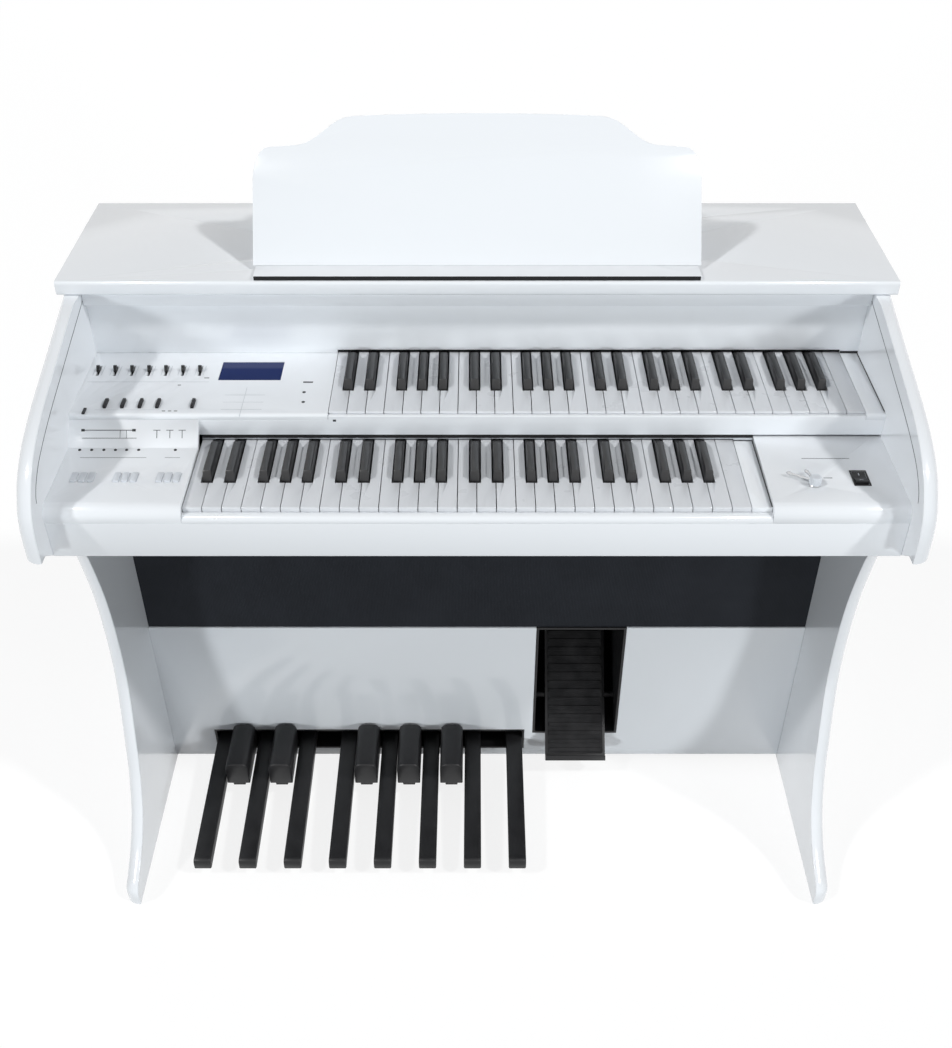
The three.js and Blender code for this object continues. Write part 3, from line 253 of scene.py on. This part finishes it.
WHITE = (0.84, 0.865, 0.895)
white_lacquer = lacquer("white_lacquer", WHITE)
grey_board = moulded("grey_board", (0.60, 0.62, 0.65), 0.6, 220.0, 0.0001, 0.03)
black_plastic = moulded("black_plastic", (0.012, 0.012, 0.013), 0.42)
rubber = moulded("tread_rubber", (0.011, 0.011, 0.012), 0.75, 1200.0, 0.00008, 0.12)
pale_plastic = moulded("pale_plastic", (0.66, 0.69, 0.73), 0.4, 900.0, 0.00002, 0.015)
mark_grey = moulded("mark_grey", (0.10, 0.105, 0.115), 0.6, 900.0, 0.00001, 0.1)
mark_black = moulded("mark_black", (0.018, 0.019, 0.021), 0.5, 900.0, 0.00001, 0.1)
faint_grey = moulded("faint_grey", (0.52, 0.55, 0.58), 0.5, 900.0, 0.00001, 0.05)
cloth = speaker_cloth()
# Black felt; behind the keys it also stands for painted shade in the gaps
felt_and_gap_shade = felt("felt_and_gap_shade", (0.010, 0.010, 0.011))
naturals = key_plastic()
sharps = sharp_plastic()
zinc = brushed_metal("zinc_steel", (0.46, 0.48, 0.50), 0.38)
chrome = brushed_metal("chrome", (0.62, 0.63, 0.64), 0.12, (400.0, 400.0, 400.0))
green = circuit_green()
window_back_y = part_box("display")[1].y
window_blue = display_window(window_back_y - 0.016, window_back_y - 0.022)

MATERIALS = {
    "white_lacquer": white_lacquer,
    "grey_board": grey_board,
    "natural_keys": naturals,
    "sharp_keys": sharps,
    "black_plastic": black_plastic,
    "buttons": pale_plastic,
    "speaker_cloth": cloth,
    "display": window_blue,
    "zinc_steel": zinc,
    "chrome": chrome,
    "circuit_board": green,
}
SLOT_OF = {entry["node"]: entry["material_slot"] for entry in frame["record"]["subparts"]}


# Carried-over nodes: finish and softened edges, with radii in millimetres and the rest left sharp

EDGE_RADII = {
    "top_board": 1.2, "top_rail": 1.0, "fallboard": 0.6, "upper_deck": 0.3, "upper_front_rail": 0.9,
    "lower_left_deck": 0.3, "lower_right_deck": 0.3, "lower_key_slip": 0.6, "front_apron": 1.0,
    "upper_end_block": 0.5, "lower_end_block": 0.8, "keybed_board": 1.0, "kick_panel": 1.2,
    "music_desk": 2.0, "music_ledge": 1.0, "back_panel": 0.6, "bottom_board": 1.0,
    "expression_housing": 0.8, "expression_pedal": 1.0, "tab_strip": 0.4, "button_mat": 0.5,
}
COMB_RADIUS = 0.45
PEDAL_RADIUS = 1.0
SMOOTH_ANGLE = math.radians(32)


def soften(node, radius):
    for polygon in node.data.polygons:
        polygon.use_smooth = True
    node.modifiers.new("weld", "WELD").merge_threshold = 0.00001
    if radius:
        bevel = node.modifiers.new("edges", "BEVEL")
        bevel.width = radius * MM
        bevel.segments = 2
        bevel.limit_method = "ANGLE"
        bevel.angle_limit = SMOOTH_ANGLE
        bevel.harden_normals = True
    else:
        split = node.modifiers.new("edges", "EDGE_SPLIT")
        split.split_angle = SMOOTH_ANGLE


def dress_nodes():
    for name, node in nodes.items():
        node.data.materials.clear()
        node.data.materials.append(MATERIALS[SLOT_OF[name]])
        radius = EDGE_RADII.get(name, 0.0)
        if name.endswith(("comb", "comb_a", "comb_b")):
            radius = COMB_RADIUS
        if name.startswith("pedal_") and name != "pedal_chassis":
            radius = PEDAL_RADIUS
        soften(node, radius)


# New pieces


def add_piece(name, mesh, material, body, smooth=False):
    """Puts a bmesh into the scene as a piece that rides on a body."""
    data = bpy.data.meshes.new(name)
    bmesh.ops.recalc_face_normals(mesh, faces=mesh.faces)
    mesh.to_mesh(data)
    mesh.free()
    for polygon in data.polygons:
        polygon.use_smooth = smooth
    if smooth:
        data.set_sharp_from_angle(angle=SMOOTH_ANGLE)
    data.materials.append(material)
    piece = bpy.data.objects.new(name, data)
    bpy.context.scene.collection.objects.link(piece)
    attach(piece, body)
    return piece


def add_box(mesh, low, high, turn=None):
    """Adds a box in millimetres between two corners, turned by a matrix if one is given."""
    low = Vector(low) * MM
    high = Vector(high) * MM
    place = Matrix.Translation((low + high) / 2) @ Matrix.Diagonal((*(high - low), 1))
    if turn is not None:
        place = turn @ place
    return bmesh.ops.create_cube(mesh, size=1.0, matrix=place)["verts"]


def rounded(mesh, radius, segments=2):
    bmesh.ops.bevel(
        mesh, geom=list(mesh.edges), offset=radius * MM, segments=segments, profile=0.5, affect="EDGES",
        clamp_overlap=True,
    )


def add_ring(mesh, radius, height, steps, place, waves=0, depth=0.0):
    """A ring of vertices about the z axis of a place, or one vertex where the radius is 0."""
    if radius == 0:
        return [mesh.verts.new(place @ (Vector((0, 0, height)) * MM))]
    ring = []
    for i in range(steps):
        angle = TAU * i / steps
        reach = radius + depth * math.cos(waves * angle)
        point = Vector((reach * math.cos(angle), reach * math.sin(angle), height))
        ring.append(mesh.verts.new(place @ (point * MM)))
    return ring


def join_rings(mesh, rings):
    """Faces between neighbouring rings, with triangles where a ring is one vertex."""
    for low, high in zip(rings, rings[1:]):
        count = max(len(low), len(high))
        for i in range(count):
            j = (i + 1) % count
            corners = [low[i % len(low)], low[j % len(low)], high[j % len(high)], high[i % len(high)]]
            unique = list(dict.fromkeys(corners))
            if len(unique) > 2:
                mesh.faces.new(unique)


def close_rings(mesh, rings):
    """Faces between the rings and a face over each end."""
    join_rings(mesh, rings)
    mesh.faces.new(list(reversed(rings[0])))
    mesh.faces.new(rings[-1])


def add_lathe(mesh, profile, centre, steps=40):
    """Adds a closed body turned about a vertical line. The profile is (radius, height) in millimetres."""
    place = Matrix.Translation(Vector(centre) * MM)
    join_rings(mesh, [add_ring(mesh, radius, height, steps, place) for radius, height in profile])


def felt_strips():
    """Black felt behind the keys, under the upper rail and the fallboard, drawn deep enough to stand also
    for painted shade in the gaps there, and the lower one's pale carrier.
    """
    mesh = bmesh.new()
    add_box(mesh, (-352.5, -97.4, 741.0), (353.0, -93.0, 746.2))
    add_box(mesh, (-188.5, 54.5, 778.9), (492.3, 62.0, 782.4))
    rounded(mesh, 0.5, 2)
    add_piece("key_felts_and_gap_shade", mesh, felt_and_gap_shade, "case")
    slip = bmesh.new()
    add_box(slip, (-352.5, -97.0, 739.2), (328.6, -93.2, 741.4))
    add_box(slip, (328.8, -97.0, BLOCK_TOP), (353.0, -93.2, 741.4))
    rounded(slip, 0.3, 2)
    add_piece("felt_carrier", slip, pale_plastic, "case")


def block_joints():
    """Fine dark joints on the right of the two end blocks and behind the upper one."""
    mesh = bmesh.new()
    add_box(mesh, (492.8, 53.1, UPPER_TOP), (517.0, 53.7, 780.3))
    add_box(mesh, (515.8, -91.0, UPPER_TOP), (517.0, 61.0, UPPER_TOP + MARK_RISE))
    add_box(mesh, (352.0, -237.0, BLOCK_TOP), (353.2, -98.2, BLOCK_TOP + MARK_RISE))
    add_piece("block_joints", mesh, mark_black, "case")


def upper_marks():
    """Plain lines and dots on the upper deck, with no words."""
    top = UPPER_TOP
    rise = MARK_RISE
    mesh = bmesh.new()
    add_box(mesh, (-228.3, -22.4, top), (-215.4, -19.4, top + rise))
    for x, y in ((-224.4, -45.3), (-223.0, -68.6)):
        add_lathe(mesh, [(0, 0), (2.3, 0), (2.3, rise), (0, rise)], (x, y, top), 20)
    add_box(mesh, (-183.0, -98.15, 766.5), (-179.0, -97.9, 769.5))
    add_box(mesh, (-360.0, -11.2, top), (-353.5, -9.6, top + rise))
    add_box(mesh, (-391.5, -28.8, top), (-387.5, -27.2, top + rise))
    for i in range(3):
        left = -400.0 + i * 7.6
        add_box(mesh, (left, -90.2, top), (left + 4.2, -88.8, top + rise))
    add_piece("upper_marks", mesh, mark_black, "case")
    lines = bmesh.new()
    add_box(lines, (-512.0, -20.4, top), (-352.0, -19.8, top + rise))
    add_box(lines, (-486.0, -87.2, top), (-404.0, -86.6, top + rise))
    for i in range(7):
        x = -503.0 + 22.5 * i
        for side in (-5.6, 5.6):
            add_box(lines, (x + side - 0.3, -4.0, top), (x + side + 0.3, 20.0, top + rise))
    add_piece("upper_lines", lines, faint_grey, "case")
    cross = bmesh.new()
    add_box(cross, (-300.3, -104.0, top), (-299.7, -34.0, top + rise))
    for y in (-52.0, -69.0, -86.0):
        add_box(cross, (-326.0, y - 0.3, top), (-274.0, y + 0.3, top + rise))
    add_piece("selector_lines", cross, faint_grey, "case")


# Run and rise of the lower left deck's slope
SLOPE = (24.0, 27.0)


def slope_matrix():
    """The frame of the lower left deck's slope: origin at its foot, y up along it, z out of it."""
    foot = Vector((0, -122.3, LOWER_TOP)) * MM
    along = Vector((0, *SLOPE)).normalized()
    out = Vector((1, 0, 0)).cross(along)
    turn = Matrix((
        (1, 0, 0, 0),
        (0, along.y, out.y, 0),
        (0, along.z, out.z, 0),
        (0, 0, 0, 1),
    ))
    return Matrix.Translation(foot) @ turn


def lower_left_marks():
    """Plain frames, dots and lines on the lower left deck and its slope."""
    turn = slope_matrix()
    rise = MARK_RISE
    length = math.hypot(*SLOPE)
    upper, lower = 0.62 * length, 0.34 * length
    lines = bmesh.new()
    add_box(lines, (-500.0, upper - 0.5, 0), (-433.0, upper + 0.5, rise), turn)
    add_box(lines, (-500.0, lower - 0.35, 0), (-431.0, lower + 0.35, rise), turn)
    for x in (-452.0, -444.0):
        add_box(lines, (x - 0.3, lower, 0), (x + 0.3, upper, rise), turn)
    for x in (-405.5, -389.0, -373.5):
        add_box(lines, (x - 4.5, upper - 0.4, 0), (x + 4.5, upper + 0.4, rise), turn)
        add_box(lines, (x - 0.4, lower, 0), (x + 0.4, upper, rise), turn)
    for low_x, high_x in ((-497.0, -414.0), (-391.0, -372.0)):
        add_box(lines, (low_x, -144.0, LOWER_TOP), (high_x, -143.4, LOWER_TOP + rise))
    add_piece("left_deck_lines", lines, mark_grey, "case")
    dots = bmesh.new()
    for x in (-499.0, -434.5):
        add_box(dots, (x - 2.2, upper - 1.6, 0), (x + 2.2, upper + 1.6, 0.25), turn)
    for x in (-501.5, -486.5, -471.0, -456.4, -442.2, -427.1, -380.9):
        add_lathe(dots, [(0, 0), (2.0, 0), (1.7, 0.9), (0, 1.1)], (x, -127.2, LOWER_TOP), 20)
    # A black block on the front edge of the upper deck, next to the left cheek
    add_box(dots, (-500.0, -97.0, UPPER_TOP), (-496.5, -84.5, UPPER_TOP + 1.6))
    add_piece("left_deck_dots", dots, mark_black, "case")


def right_deck_marks():
    lines = bmesh.new()
    add_box(lines, (405.4, -146.0, LOWER_TOP), (465.0, -145.2, LOWER_TOP + MARK_RISE))
    add_box(lines, (423.9, -187.2, LOWER_TOP), (434.6, -186.0, LOWER_TOP + MARK_RISE))
    add_piece("right_deck_lines", lines, mark_grey, "case")


def slider_caps():
    """Caps with a raised grip and a pale index line, one on each slider."""
    z = UPPER_TOP + 0.3
    outline = [
        (-4.5, 0), (-4.5, 3.0), (-2.9, 4.4), (-1.5, 8.0), (-0.5, 8.4),
        (0.5, 8.4), (1.5, 8.0), (2.9, 4.4), (4.5, 3.0), (4.5, 0),
    ]
    for i in range(7):
        name = f"slider_{i + 1}"
        low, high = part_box(name)
        x = (low.x + high.x) / 2 / MM
        y = (low.y + high.y) / 2 / MM
        mesh = bmesh.new()
        close_rings(mesh, [
            [mesh.verts.new(Vector((x + side, y + a, z + b)) * MM) for a, b in outline]
            for side in (-2.0, 2.0)
        ])
        rounded(mesh, 0.3, 2)
        add_box(mesh, (x - 1.6, y - 3.0, 766.7), (x + 1.6, y + 3.0, z + 0.4))
        add_box(mesh, (x - 4.5, y - 5.0, 766.7), (x + 4.5, y + 5.0, 768.7))
        cap = add_piece(f"{name}_cap", mesh, black_plastic, name)
        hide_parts(name)
        line = bmesh.new()
        add_box(line, (x - 2.05, y - 0.35, z + 8.3), (x + 2.05, y + 0.35, z + 8.55))
        add_piece(f"{name}_line", line, pale_plastic, name)


# The middle of the volume knob's foot
KNOB = (410.0, -200.0, LOWER_TOP + 0.3)


def volume_cap():
    """A fluted white cap with an index line."""
    x, y, base = KNOB
    place = Matrix.Translation(Vector(KNOB) * MM)
    # Radius, height and depth of the flutes
    profile = (
        (0, 1.6, 0), (6.6, 1.6, 0), (7.2, 2.0, 0.35), (7.0, 10.0, 0.35), (6.3, 11.6, 0.15), (5.2, 12.2, 0),
        (4.6, 11.8, 0), (0, 11.8, 0),
    )
    cap = bmesh.new()
    join_rings(cap, [
        add_ring(cap, radius, height, 72, place, waves=18, depth=flute) for radius, height, flute in profile
    ])
    add_box(cap, (x - 0.5, y - 5.0, base + 11.6), (x + 0.5, y - 0.5, base + 12.1))
    add_piece("volume_cap", cap, pale_plastic, "volume_knob", smooth=True)


def volume_collar():
    """The chrome collar under the cap, with its shaft and two chrome prongs."""
    x, y, base = KNOB
    metal = bmesh.new()
    profile = [(0, -14.0), (3.0, -14.0), (3.0, 0), (7.5, 0), (7.5, 1.0), (7.0, 1.5), (0, 1.5)]
    add_lathe(metal, profile, KNOB)
    for reach, degrees in ((33.0, 150.0), (21.0, 108.0)):
        turn = Matrix.Translation(Vector((x, y, base + 5.0)) * MM) @ Matrix.Rotation(
            math.radians(degrees), 4, "Z")
        across = turn @ Matrix.Rotation(math.pi / 2, 4, "Y")
        middle = (reach + 3.0) / 2 * MM
        bmesh.ops.create_cone(
            metal, cap_ends=True, segments=20, radius1=1.7 * MM, radius2=1.5 * MM, depth=(reach - 3.0) * MM,
            matrix=across @ Matrix.Translation((0, 0, middle)),
        )
        bmesh.ops.create_uvsphere(
            metal, u_segments=20, v_segments=12, radius=2.6 * MM,
            matrix=turn @ Matrix.Translation((reach * MM, 0, 0)) @ Matrix.Diagonal((1.25, 1, 0.85, 1)),
        )
    collar = add_piece("volume_collar", metal, chrome, "volume_knob", smooth=True)
    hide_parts("volume_knob")


# The middle of the rocker's axle
ROCKER = (468.5, -187.25, 740.0)


def rocker_cap():
    """A hollowed rocker with two plain marks."""
    turn = Matrix.Translation(Vector(ROCKER) * MM) @ Matrix.Rotation(math.radians(-8), 4, "X")
    mesh = bmesh.new()
    outline = [(-12.15, -4.0), (-9.15, -8.0), (9.15, -8.0), (12.15, -4.0), (12.15, 5.5)]
    for i in range(1, 8):
        share = i / 8
        a = 12.15 * (1 - 2 * share)
        outline.append((a, 3.2 + 2.3 * (abs(a) / 12.15) ** 1.6))
    outline.append((-12.15, 5.5))
    close_rings(mesh, [
        [mesh.verts.new(turn @ (Vector((side, a, b)) * MM)) for a, b in outline] for side in (-7.9, 7.9)
    ])
    rounded(mesh, 0.35, 2)
    piece = add_piece("rocker_cap", mesh, black_plastic, "power_rocker")
    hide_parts("power_rocker")
    marks = bmesh.new()
    add_box(marks, (-0.5, 5.2, 3.3), (0.5, 9.4, 4.75), turn)
    ring_turn = turn @ Matrix.Translation(Vector((0, -7.2, 4.05)) * MM) @ Matrix.Rotation(
        math.radians(-8), 4, "X")
    rings = [
        add_ring(marks, radius, height, 28, ring_turn)
        for radius, height in ((1.6, -0.4), (2.5, -0.4), (2.5, 0.15), (1.6, 0.15))
    ]
    join_rings(marks, rings + rings[:1])
    add_piece("rocker_marks", marks, pale_plastic, "power_rocker")


def rocker_frame():
    """The frame round the rocker, on the deck."""
    x, y, _ = ROCKER
    bezel = bmesh.new()
    low, high = LOWER_TOP - 0.1, LOWER_TOP + 0.9
    add_box(bezel, (x - 10.3, y - 15.5, low), (x + 10.3, y - 13.9, high))
    add_box(bezel, (x - 10.3, y + 13.9, low), (x + 10.3, y + 15.5, high))
    for side in (-1, 1):
        inner, outer = sorted((side * 8.6, side * 10.3))
        add_box(bezel, (x + inner, y - 13.9, low), (x + outer, y + 13.9, high))
    add_piece("rocker_frame", bezel, black_plastic, "case")


# The seam on the inner face of each side board: (depth, height)
SEAM = (
    (55.0, 865.0), (-26.0, 845.5), (-90.0, 829.5), (-131.0, 819.5), (-177.5, 806.5), (-218.4, 791.5),
    (-241.0, 777.5), (-252.0, 766.0), (-256.0, 757.0),
)
SEAM_HALF_WIDTH = 0.45
# The side boards' front outline at the crest: (depth, height) down the horn, under its nib, down the leg
HORN = (
    (-38.0, 865.0), (-77.0, 855.0), (-116.0, 845.5), (-155.0, 835.5), (-190.0, 824.5), (-221.0, 811.0),
    (-247.0, 794.0), (-265.0, 775.0), (-278.5, 753.5), (-284.0, 735.0), (-286.5, 715.0), (-287.0, 689.5),
)
NIB = (-272.0, 689.5)
LEG = (
    (-244.0, 667.5), (-211.0, 646.0), (-182.0, 622.5), (-162.0, 603.0), (-151.0, 586.0),
    (-142.5, 560.0), (-133.0, 523.0), (-125.5, 487.0), (-120.5, 447.0), (-118.5, 405.0),
    (-118.5, 365.0), (-121.5, 325.0), (-128.0, 288.0), (-137.0, 250.0), (-146.5, 214.0), (-159.0, 166.0),
    (-170.0, 138.0), (-184.0, 109.0), (-199.0, 88.5), (-216.0, 71.0), (-235.0, 57.5), (-257.0, 45.5),
    (-274.0, 36.5), (-283.0, 24.0), (-283.0, 0.0),
)
BOARD_TOP = 875.0
BOARD_INNER = 517.0
BOARD_OUTER = 539.0
CREST_RADIUS = 1.2
EDGE_DEPTH = 17.0


def spline(points, steps):
    """Points on a smooth curve through the given ones."""
    made = []
    last = len(points) - 1
    for i in range(last):
        before = points[max(i - 1, 0)]
        start, end = points[i], points[i + 1]
        after = points[min(i + 2, last)]
        for k in range(steps):
            t = k / steps
            made.append(tuple(
                0.5 * (2 * b + (c - a) * t + (2 * a - 5 * b + 4 * c - d) * t * t
                       + (3 * b - a - 3 * c + d) * t ** 3)
                for a, b, c, d in zip(before, start, end, after)
            ))
    return made + [points[last]]


def drawn_in(curve, inset):
    """A curve of (depth, height) down the front of a board, moved back at right angles to itself."""
    made = []
    for k, point in enumerate(curve):
        ahead = Vector(curve[min(k + 1, len(curve) - 1)])
        behind = Vector(curve[max(k - 1, 0)])
        along = (ahead - behind).normalized()
        made.append(Vector(point) + inset * Vector((-along.y, along.x)))
    return made


def board_outline(inset):
    """The closed outline of a side board, with its front edge drawn in."""
    horn = drawn_in(spline(HORN, 4), inset)
    slope = (horn[0] - horn[1]).normalized()
    top = horn[0] + slope * (BOARD_TOP - horn[0].y) / slope.y
    nib = Vector((NIB[0] + inset, NIB[1]))
    leg = drawn_in(spline(LEG, 4), inset)
    # The ends of both curves stay level, at the nib and on the floor
    horn[-1].y = NIB[1]
    leg[-1].y = 0.0
    return [Vector((BACK_Y, 0.0)), Vector((BACK_Y, BOARD_TOP)), top, *horn, nib, *leg]


def side_boards():
    """Side boards with a crisp crest at the inner face and a front edge rounded over their thickness."""
    layers = []
    for k in range(3):
        turn = math.radians(30 * k)
        x = BOARD_INNER + CREST_RADIUS * (1 - math.cos(turn))
        layers.append((x, CREST_RADIUS * (1 - math.sin(turn))))
    start = BOARD_INNER + CREST_RADIUS
    for k in range(11):
        turn = math.radians(9 * k)
        layers.append((start + (BOARD_OUTER - start) * math.sin(turn), EDGE_DEPTH * (1 - math.cos(turn))))
    for name, side in (("left", -1), ("right", 1)):
        mesh = bmesh.new()
        rings = [
            [mesh.verts.new(Vector((side * x, y, z)) * MM) for y, z in board_outline(inset)]
            for x, inset in layers
        ]
        close_rings(mesh, rings)
        board = add_piece(f"{name}_side_board", mesh, white_lacquer, "case", smooth=True)
        board.modifiers.new("normals", "WEIGHTED_NORMAL").keep_sharp = True
        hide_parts(f"{name}_side_panel")


def cheek_seams():
    """The fine dark joint between each side panel and its rounded edging, on the inner face."""
    mesh = bmesh.new()
    curve = spline(SEAM, 5)
    front = drawn_in(curve, -SEAM_HALF_WIDTH)
    back = drawn_in(curve, SEAM_HALF_WIDTH)
    sunk = BOARD_INNER + 0.2
    proud = BOARD_INNER - 0.3
    for side in (-1, 1):
        close_rings(mesh, [
            [
                mesh.verts.new(Vector((side * x, *point)) * MM)
                for x, point in ((sunk, low), (proud, low), (proud, high), (sunk, high))
            ]
            for low, high in zip(front, back)
        ])
    add_piece("cheek_seams", mesh, mark_grey, "case")


def ledge_strip():
    """The dark strip along the front edge of the music ledge."""
    mesh = bmesh.new()
    add_box(mesh, (-288.0, 35.2, 895.4), (288.0, 36.3, 900.8))
    rounded(mesh, 0.3, 2)
    add_piece("ledge_strip", mesh, felt_and_gap_shade, "music_stand")


def pedal_treads():
    """Ribbed rubber on the expression pedal's plate."""
    turn = Matrix.Translation(Vector((165.0, 60.0, 105.0)) * MM) @ Matrix.Rotation(
        math.radians(45), 4, "X")
    mesh = bmesh.new()
    add_box(mesh, (-46.0, -98.0, 20.0), (46.0, 138.0, 21.6), turn)
    for i in range(17):
        y = -92.0 + i * 14.0
        add_box(mesh, (-44.0, y - 3.0, 21.4), (44.0, y + 3.0, 23.2), turn)
    rounded(mesh, 0.4, 2)
    add_piece("expression_tread", mesh, rubber, "expression_pedal")


def back_screws():
    """Domed screws round the back panel, each with a cross slot."""
    heads = bmesh.new()
    places = [(x, z) for x in (-505, -253, 0, 253, 505) for z in (20, 861)]
    places += [(x, z) for x in (-505, 505) for z in (230, 440, 650)]
    for x, z in places:
        turn = Matrix.Translation(Vector((x, BACK_Y, z)) * MM) @ Matrix.Rotation(-math.pi / 2, 4, "X")
        close_rings(heads, [
            add_ring(heads, radius, height, 24, turn)
            for radius, height in ((4.0, -1.0), (4.0, 0.4), (3.2, 1.5), (1.8, 2.0))
        ])
    add_piece("back_screws", heads, zinc, "case", smooth=True)
    slots = bmesh.new()
    for x, z in places:
        for angle in (45, 135):
            turn = Matrix.Translation(Vector((x, BACK_Y + 2.0, z)) * MM) @ Matrix.Rotation(
                math.radians(angle), 4, "Y")
            add_box(slots, (-1.6, -0.5, -0.3), (1.6, 0.05, 0.3), turn)
    add_piece("screw_slots", slots, mark_black, "case")


def vent_gauze():
    """Cloth behind the vents of the back panel."""
    gauze = bmesh.new()
    for middle in (-260, 260):
        add_box(gauze, (middle - 108, 248.6, 558), (middle + 108, 249.8, 642))
    add_piece("vent_gauze", gauze, cloth, "case")


def inlet_parts():
    """The mains inlet's socket and its three pins."""
    inlet = bmesh.new()
    x, z = -427.0, 120.0
    add_box(inlet, (x - 23.5, 255.2, z - 13.5), (x - 15.5, 262.6, z + 13.5))
    add_box(inlet, (x + 15.5, 255.2, z - 13.5), (x + 23.5, 262.6, z + 13.5))
    add_box(inlet, (x - 15.5, 255.2, z - 13.5), (x + 15.5, 262.6, z - 10.0))
    add_box(inlet, (x - 15.5, 255.2, z + 10.0), (x + 15.5, 262.6, z + 13.5))
    add_box(inlet, (x - 15.5, 255.2, z - 10.0), (x + 15.5, 256.4, z + 10.0))
    add_piece("inlet_socket", inlet, black_plastic, "case")
    pins = bmesh.new()
    for dx, dz in ((-7.0, -2.0), (7.0, -2.0), (0.0, 3.0)):
        add_box(pins, (x + dx - 1.0, 256.2, z + dz - 2.6), (x + dx + 1.0, 261.4, z + dz + 2.6))
    rounded(pins, 0.3, 1)
    add_piece("inlet_pins", pins, zinc, "case")


# Stage


def background(name, floor_color, shadow_color, glow_color):
    """A pale floor that shows near white to the camera and in reflections, and keeps its shadows."""
    material = bpy.data.materials.new(name)
    material.use_nodes = True
    tree = material.node_tree
    tree.nodes.clear()
    output = tree.nodes.new("ShaderNodeOutputMaterial")
    mix = tree.nodes.new("ShaderNodeMixShader")
    seen = tree.nodes.new("ShaderNodeLightPath")
    plain = tree.nodes.new("ShaderNodeBsdfDiffuse")
    plain.inputs["Color"].default_value = (*floor_color, 1)
    shadow = tree.nodes.new("ShaderNodeBsdfDiffuse")
    shadow.inputs["Color"].default_value = (*shadow_color, 1)
    light = tree.nodes.new("ShaderNodeEmission")
    light.inputs["Color"].default_value = (*glow_color, 1)
    total = tree.nodes.new("ShaderNodeAddShader")
    tree.links.new(shadow.outputs[0], total.inputs[0])
    tree.links.new(light.outputs[0], total.inputs[1])
    tree.links.new(any_ray(tree, seen), mix.inputs["Fac"])
    tree.links.new(plain.outputs[0], mix.inputs[1])
    tree.links.new(total.outputs[0], mix.inputs[2])
    tree.links.new(mix.outputs[0], output.inputs["Surface"])
    return material


def any_ray(tree, seen):
    """1 for camera, glossy and transmission rays."""
    total = seen.outputs["Is Camera Ray"]
    for name in ("Is Glossy Ray", "Is Transmission Ray"):
        larger = tree.nodes.new("ShaderNodeMath")
        larger.operation = "MAXIMUM"
        tree.links.new(total, larger.inputs[0])
        tree.links.new(seen.outputs[name], larger.inputs[1])
        total = larger.outputs["Value"]
    return total


def make_stage():
    mesh = bmesh.new()
    bmesh.ops.create_grid(mesh, x_segments=1, y_segments=1, size=20.0)
    data = bpy.data.meshes.new("floor")
    mesh.to_mesh(data)
    mesh.free()
    data.materials.append(background("floor_paint", (0.5,) * 3, (0.2,) * 3, (0.84,) * 3))
    floor = bpy.data.objects.new("floor", data)
    floor.location = (0, 0, -0.0005)
    bpy.context.scene.collection.objects.link(floor)
    world = bpy.data.worlds.new("studio")
    bpy.context.scene.world = world
    world.use_nodes = True
    tree = world.node_tree
    tree.nodes.clear()
    output = tree.nodes.new("ShaderNodeOutputWorld")
    dim = tree.nodes.new("ShaderNodeBackground")
    dim.inputs["Color"].default_value = (0.95, 0.98, 1.0, 1)
    dim.inputs["Strength"].default_value = WORLD_LIGHT
    white = tree.nodes.new("ShaderNodeBackground")
    white.inputs["Color"].default_value = (1, 1, 1, 1)
    white.inputs["Strength"].default_value = 1.0
    mix = tree.nodes.new("ShaderNodeMixShader")
    seen = tree.nodes.new("ShaderNodeLightPath")
    tree.links.new(any_ray(tree, seen), mix.inputs["Fac"])
    tree.links.new(dim.outputs[0], mix.inputs[1])
    tree.links.new(white.outputs[0], mix.inputs[2])
    tree.links.new(mix.outputs[0], output.inputs["Surface"])


WORLD_LIGHT = 0.15
NEUTRAL = (1.0, 1.0, 1.0)
COOL = (0.93, 0.975, 1.0)
# Each lamp: name, direction of its light, strength, angle in degrees, colour, whether gloss shows it
LAMPS = (
    ("key_left", (0.87, 0.37, -1.0), 1.18, 4.0, NEUTRAL, True),
    ("key_right", (-0.87, 0.37, -1.0), 1.32, 4.0, NEUTRAL, True),
    ("low_left", (0.55, 0.83, -0.12), 0.78, 7.0, COOL, False),
    ("low_right", (-0.55, 0.83, -0.12), 0.78, 7.0, COOL, False),
    ("behind", (0.3, -1.0, -0.12), 0.70, 12.0, NEUTRAL, False),
)


def make_lamps():
    for name, direction, strength, angle, color, shines in LAMPS:
        data = bpy.data.lights.new(name, "SUN")
        data.energy = strength
        data.angle = math.radians(angle)
        data.color = color
        lamp = bpy.data.objects.new(name, data)
        lamp.rotation_mode = "QUATERNION"
        lamp.rotation_quaternion = Vector(direction).to_track_quat("-Z", "Y")
        lamp.location = -Vector(direction) * 3
        lamp.visible_glossy = shines
        bpy.context.scene.collection.objects.link(lamp)


def make_camera():
    data = bpy.data.cameras.new("camera")
    data.lens = 42.2
    data.sensor_width = 36.0
    data.clip_start = 0.05
    data.clip_end = 100.0
    camera = bpy.data.objects.new("camera", data)
    camera.location = (-0.0015, -1.3985, 1.635)
    camera.rotation_euler = (math.radians(51.5), 0, 0)
    bpy.context.scene.collection.objects.link(camera)
    bpy.context.scene.camera = camera


make_camera()
make_lamps()
make_stage()
dress_nodes()
felt_strips()
block_joints()
upper_marks()
lower_left_marks()
right_deck_marks()
side_boards()
cheek_seams()
slider_caps()
volume_cap()
volume_collar()
rocker_cap()
rocker_frame()
ledge_strip()
pedal_treads()
back_screws()
vent_gauze()
inlet_parts()

bpy.context.scene.view_settings.view_transform = "Standard"
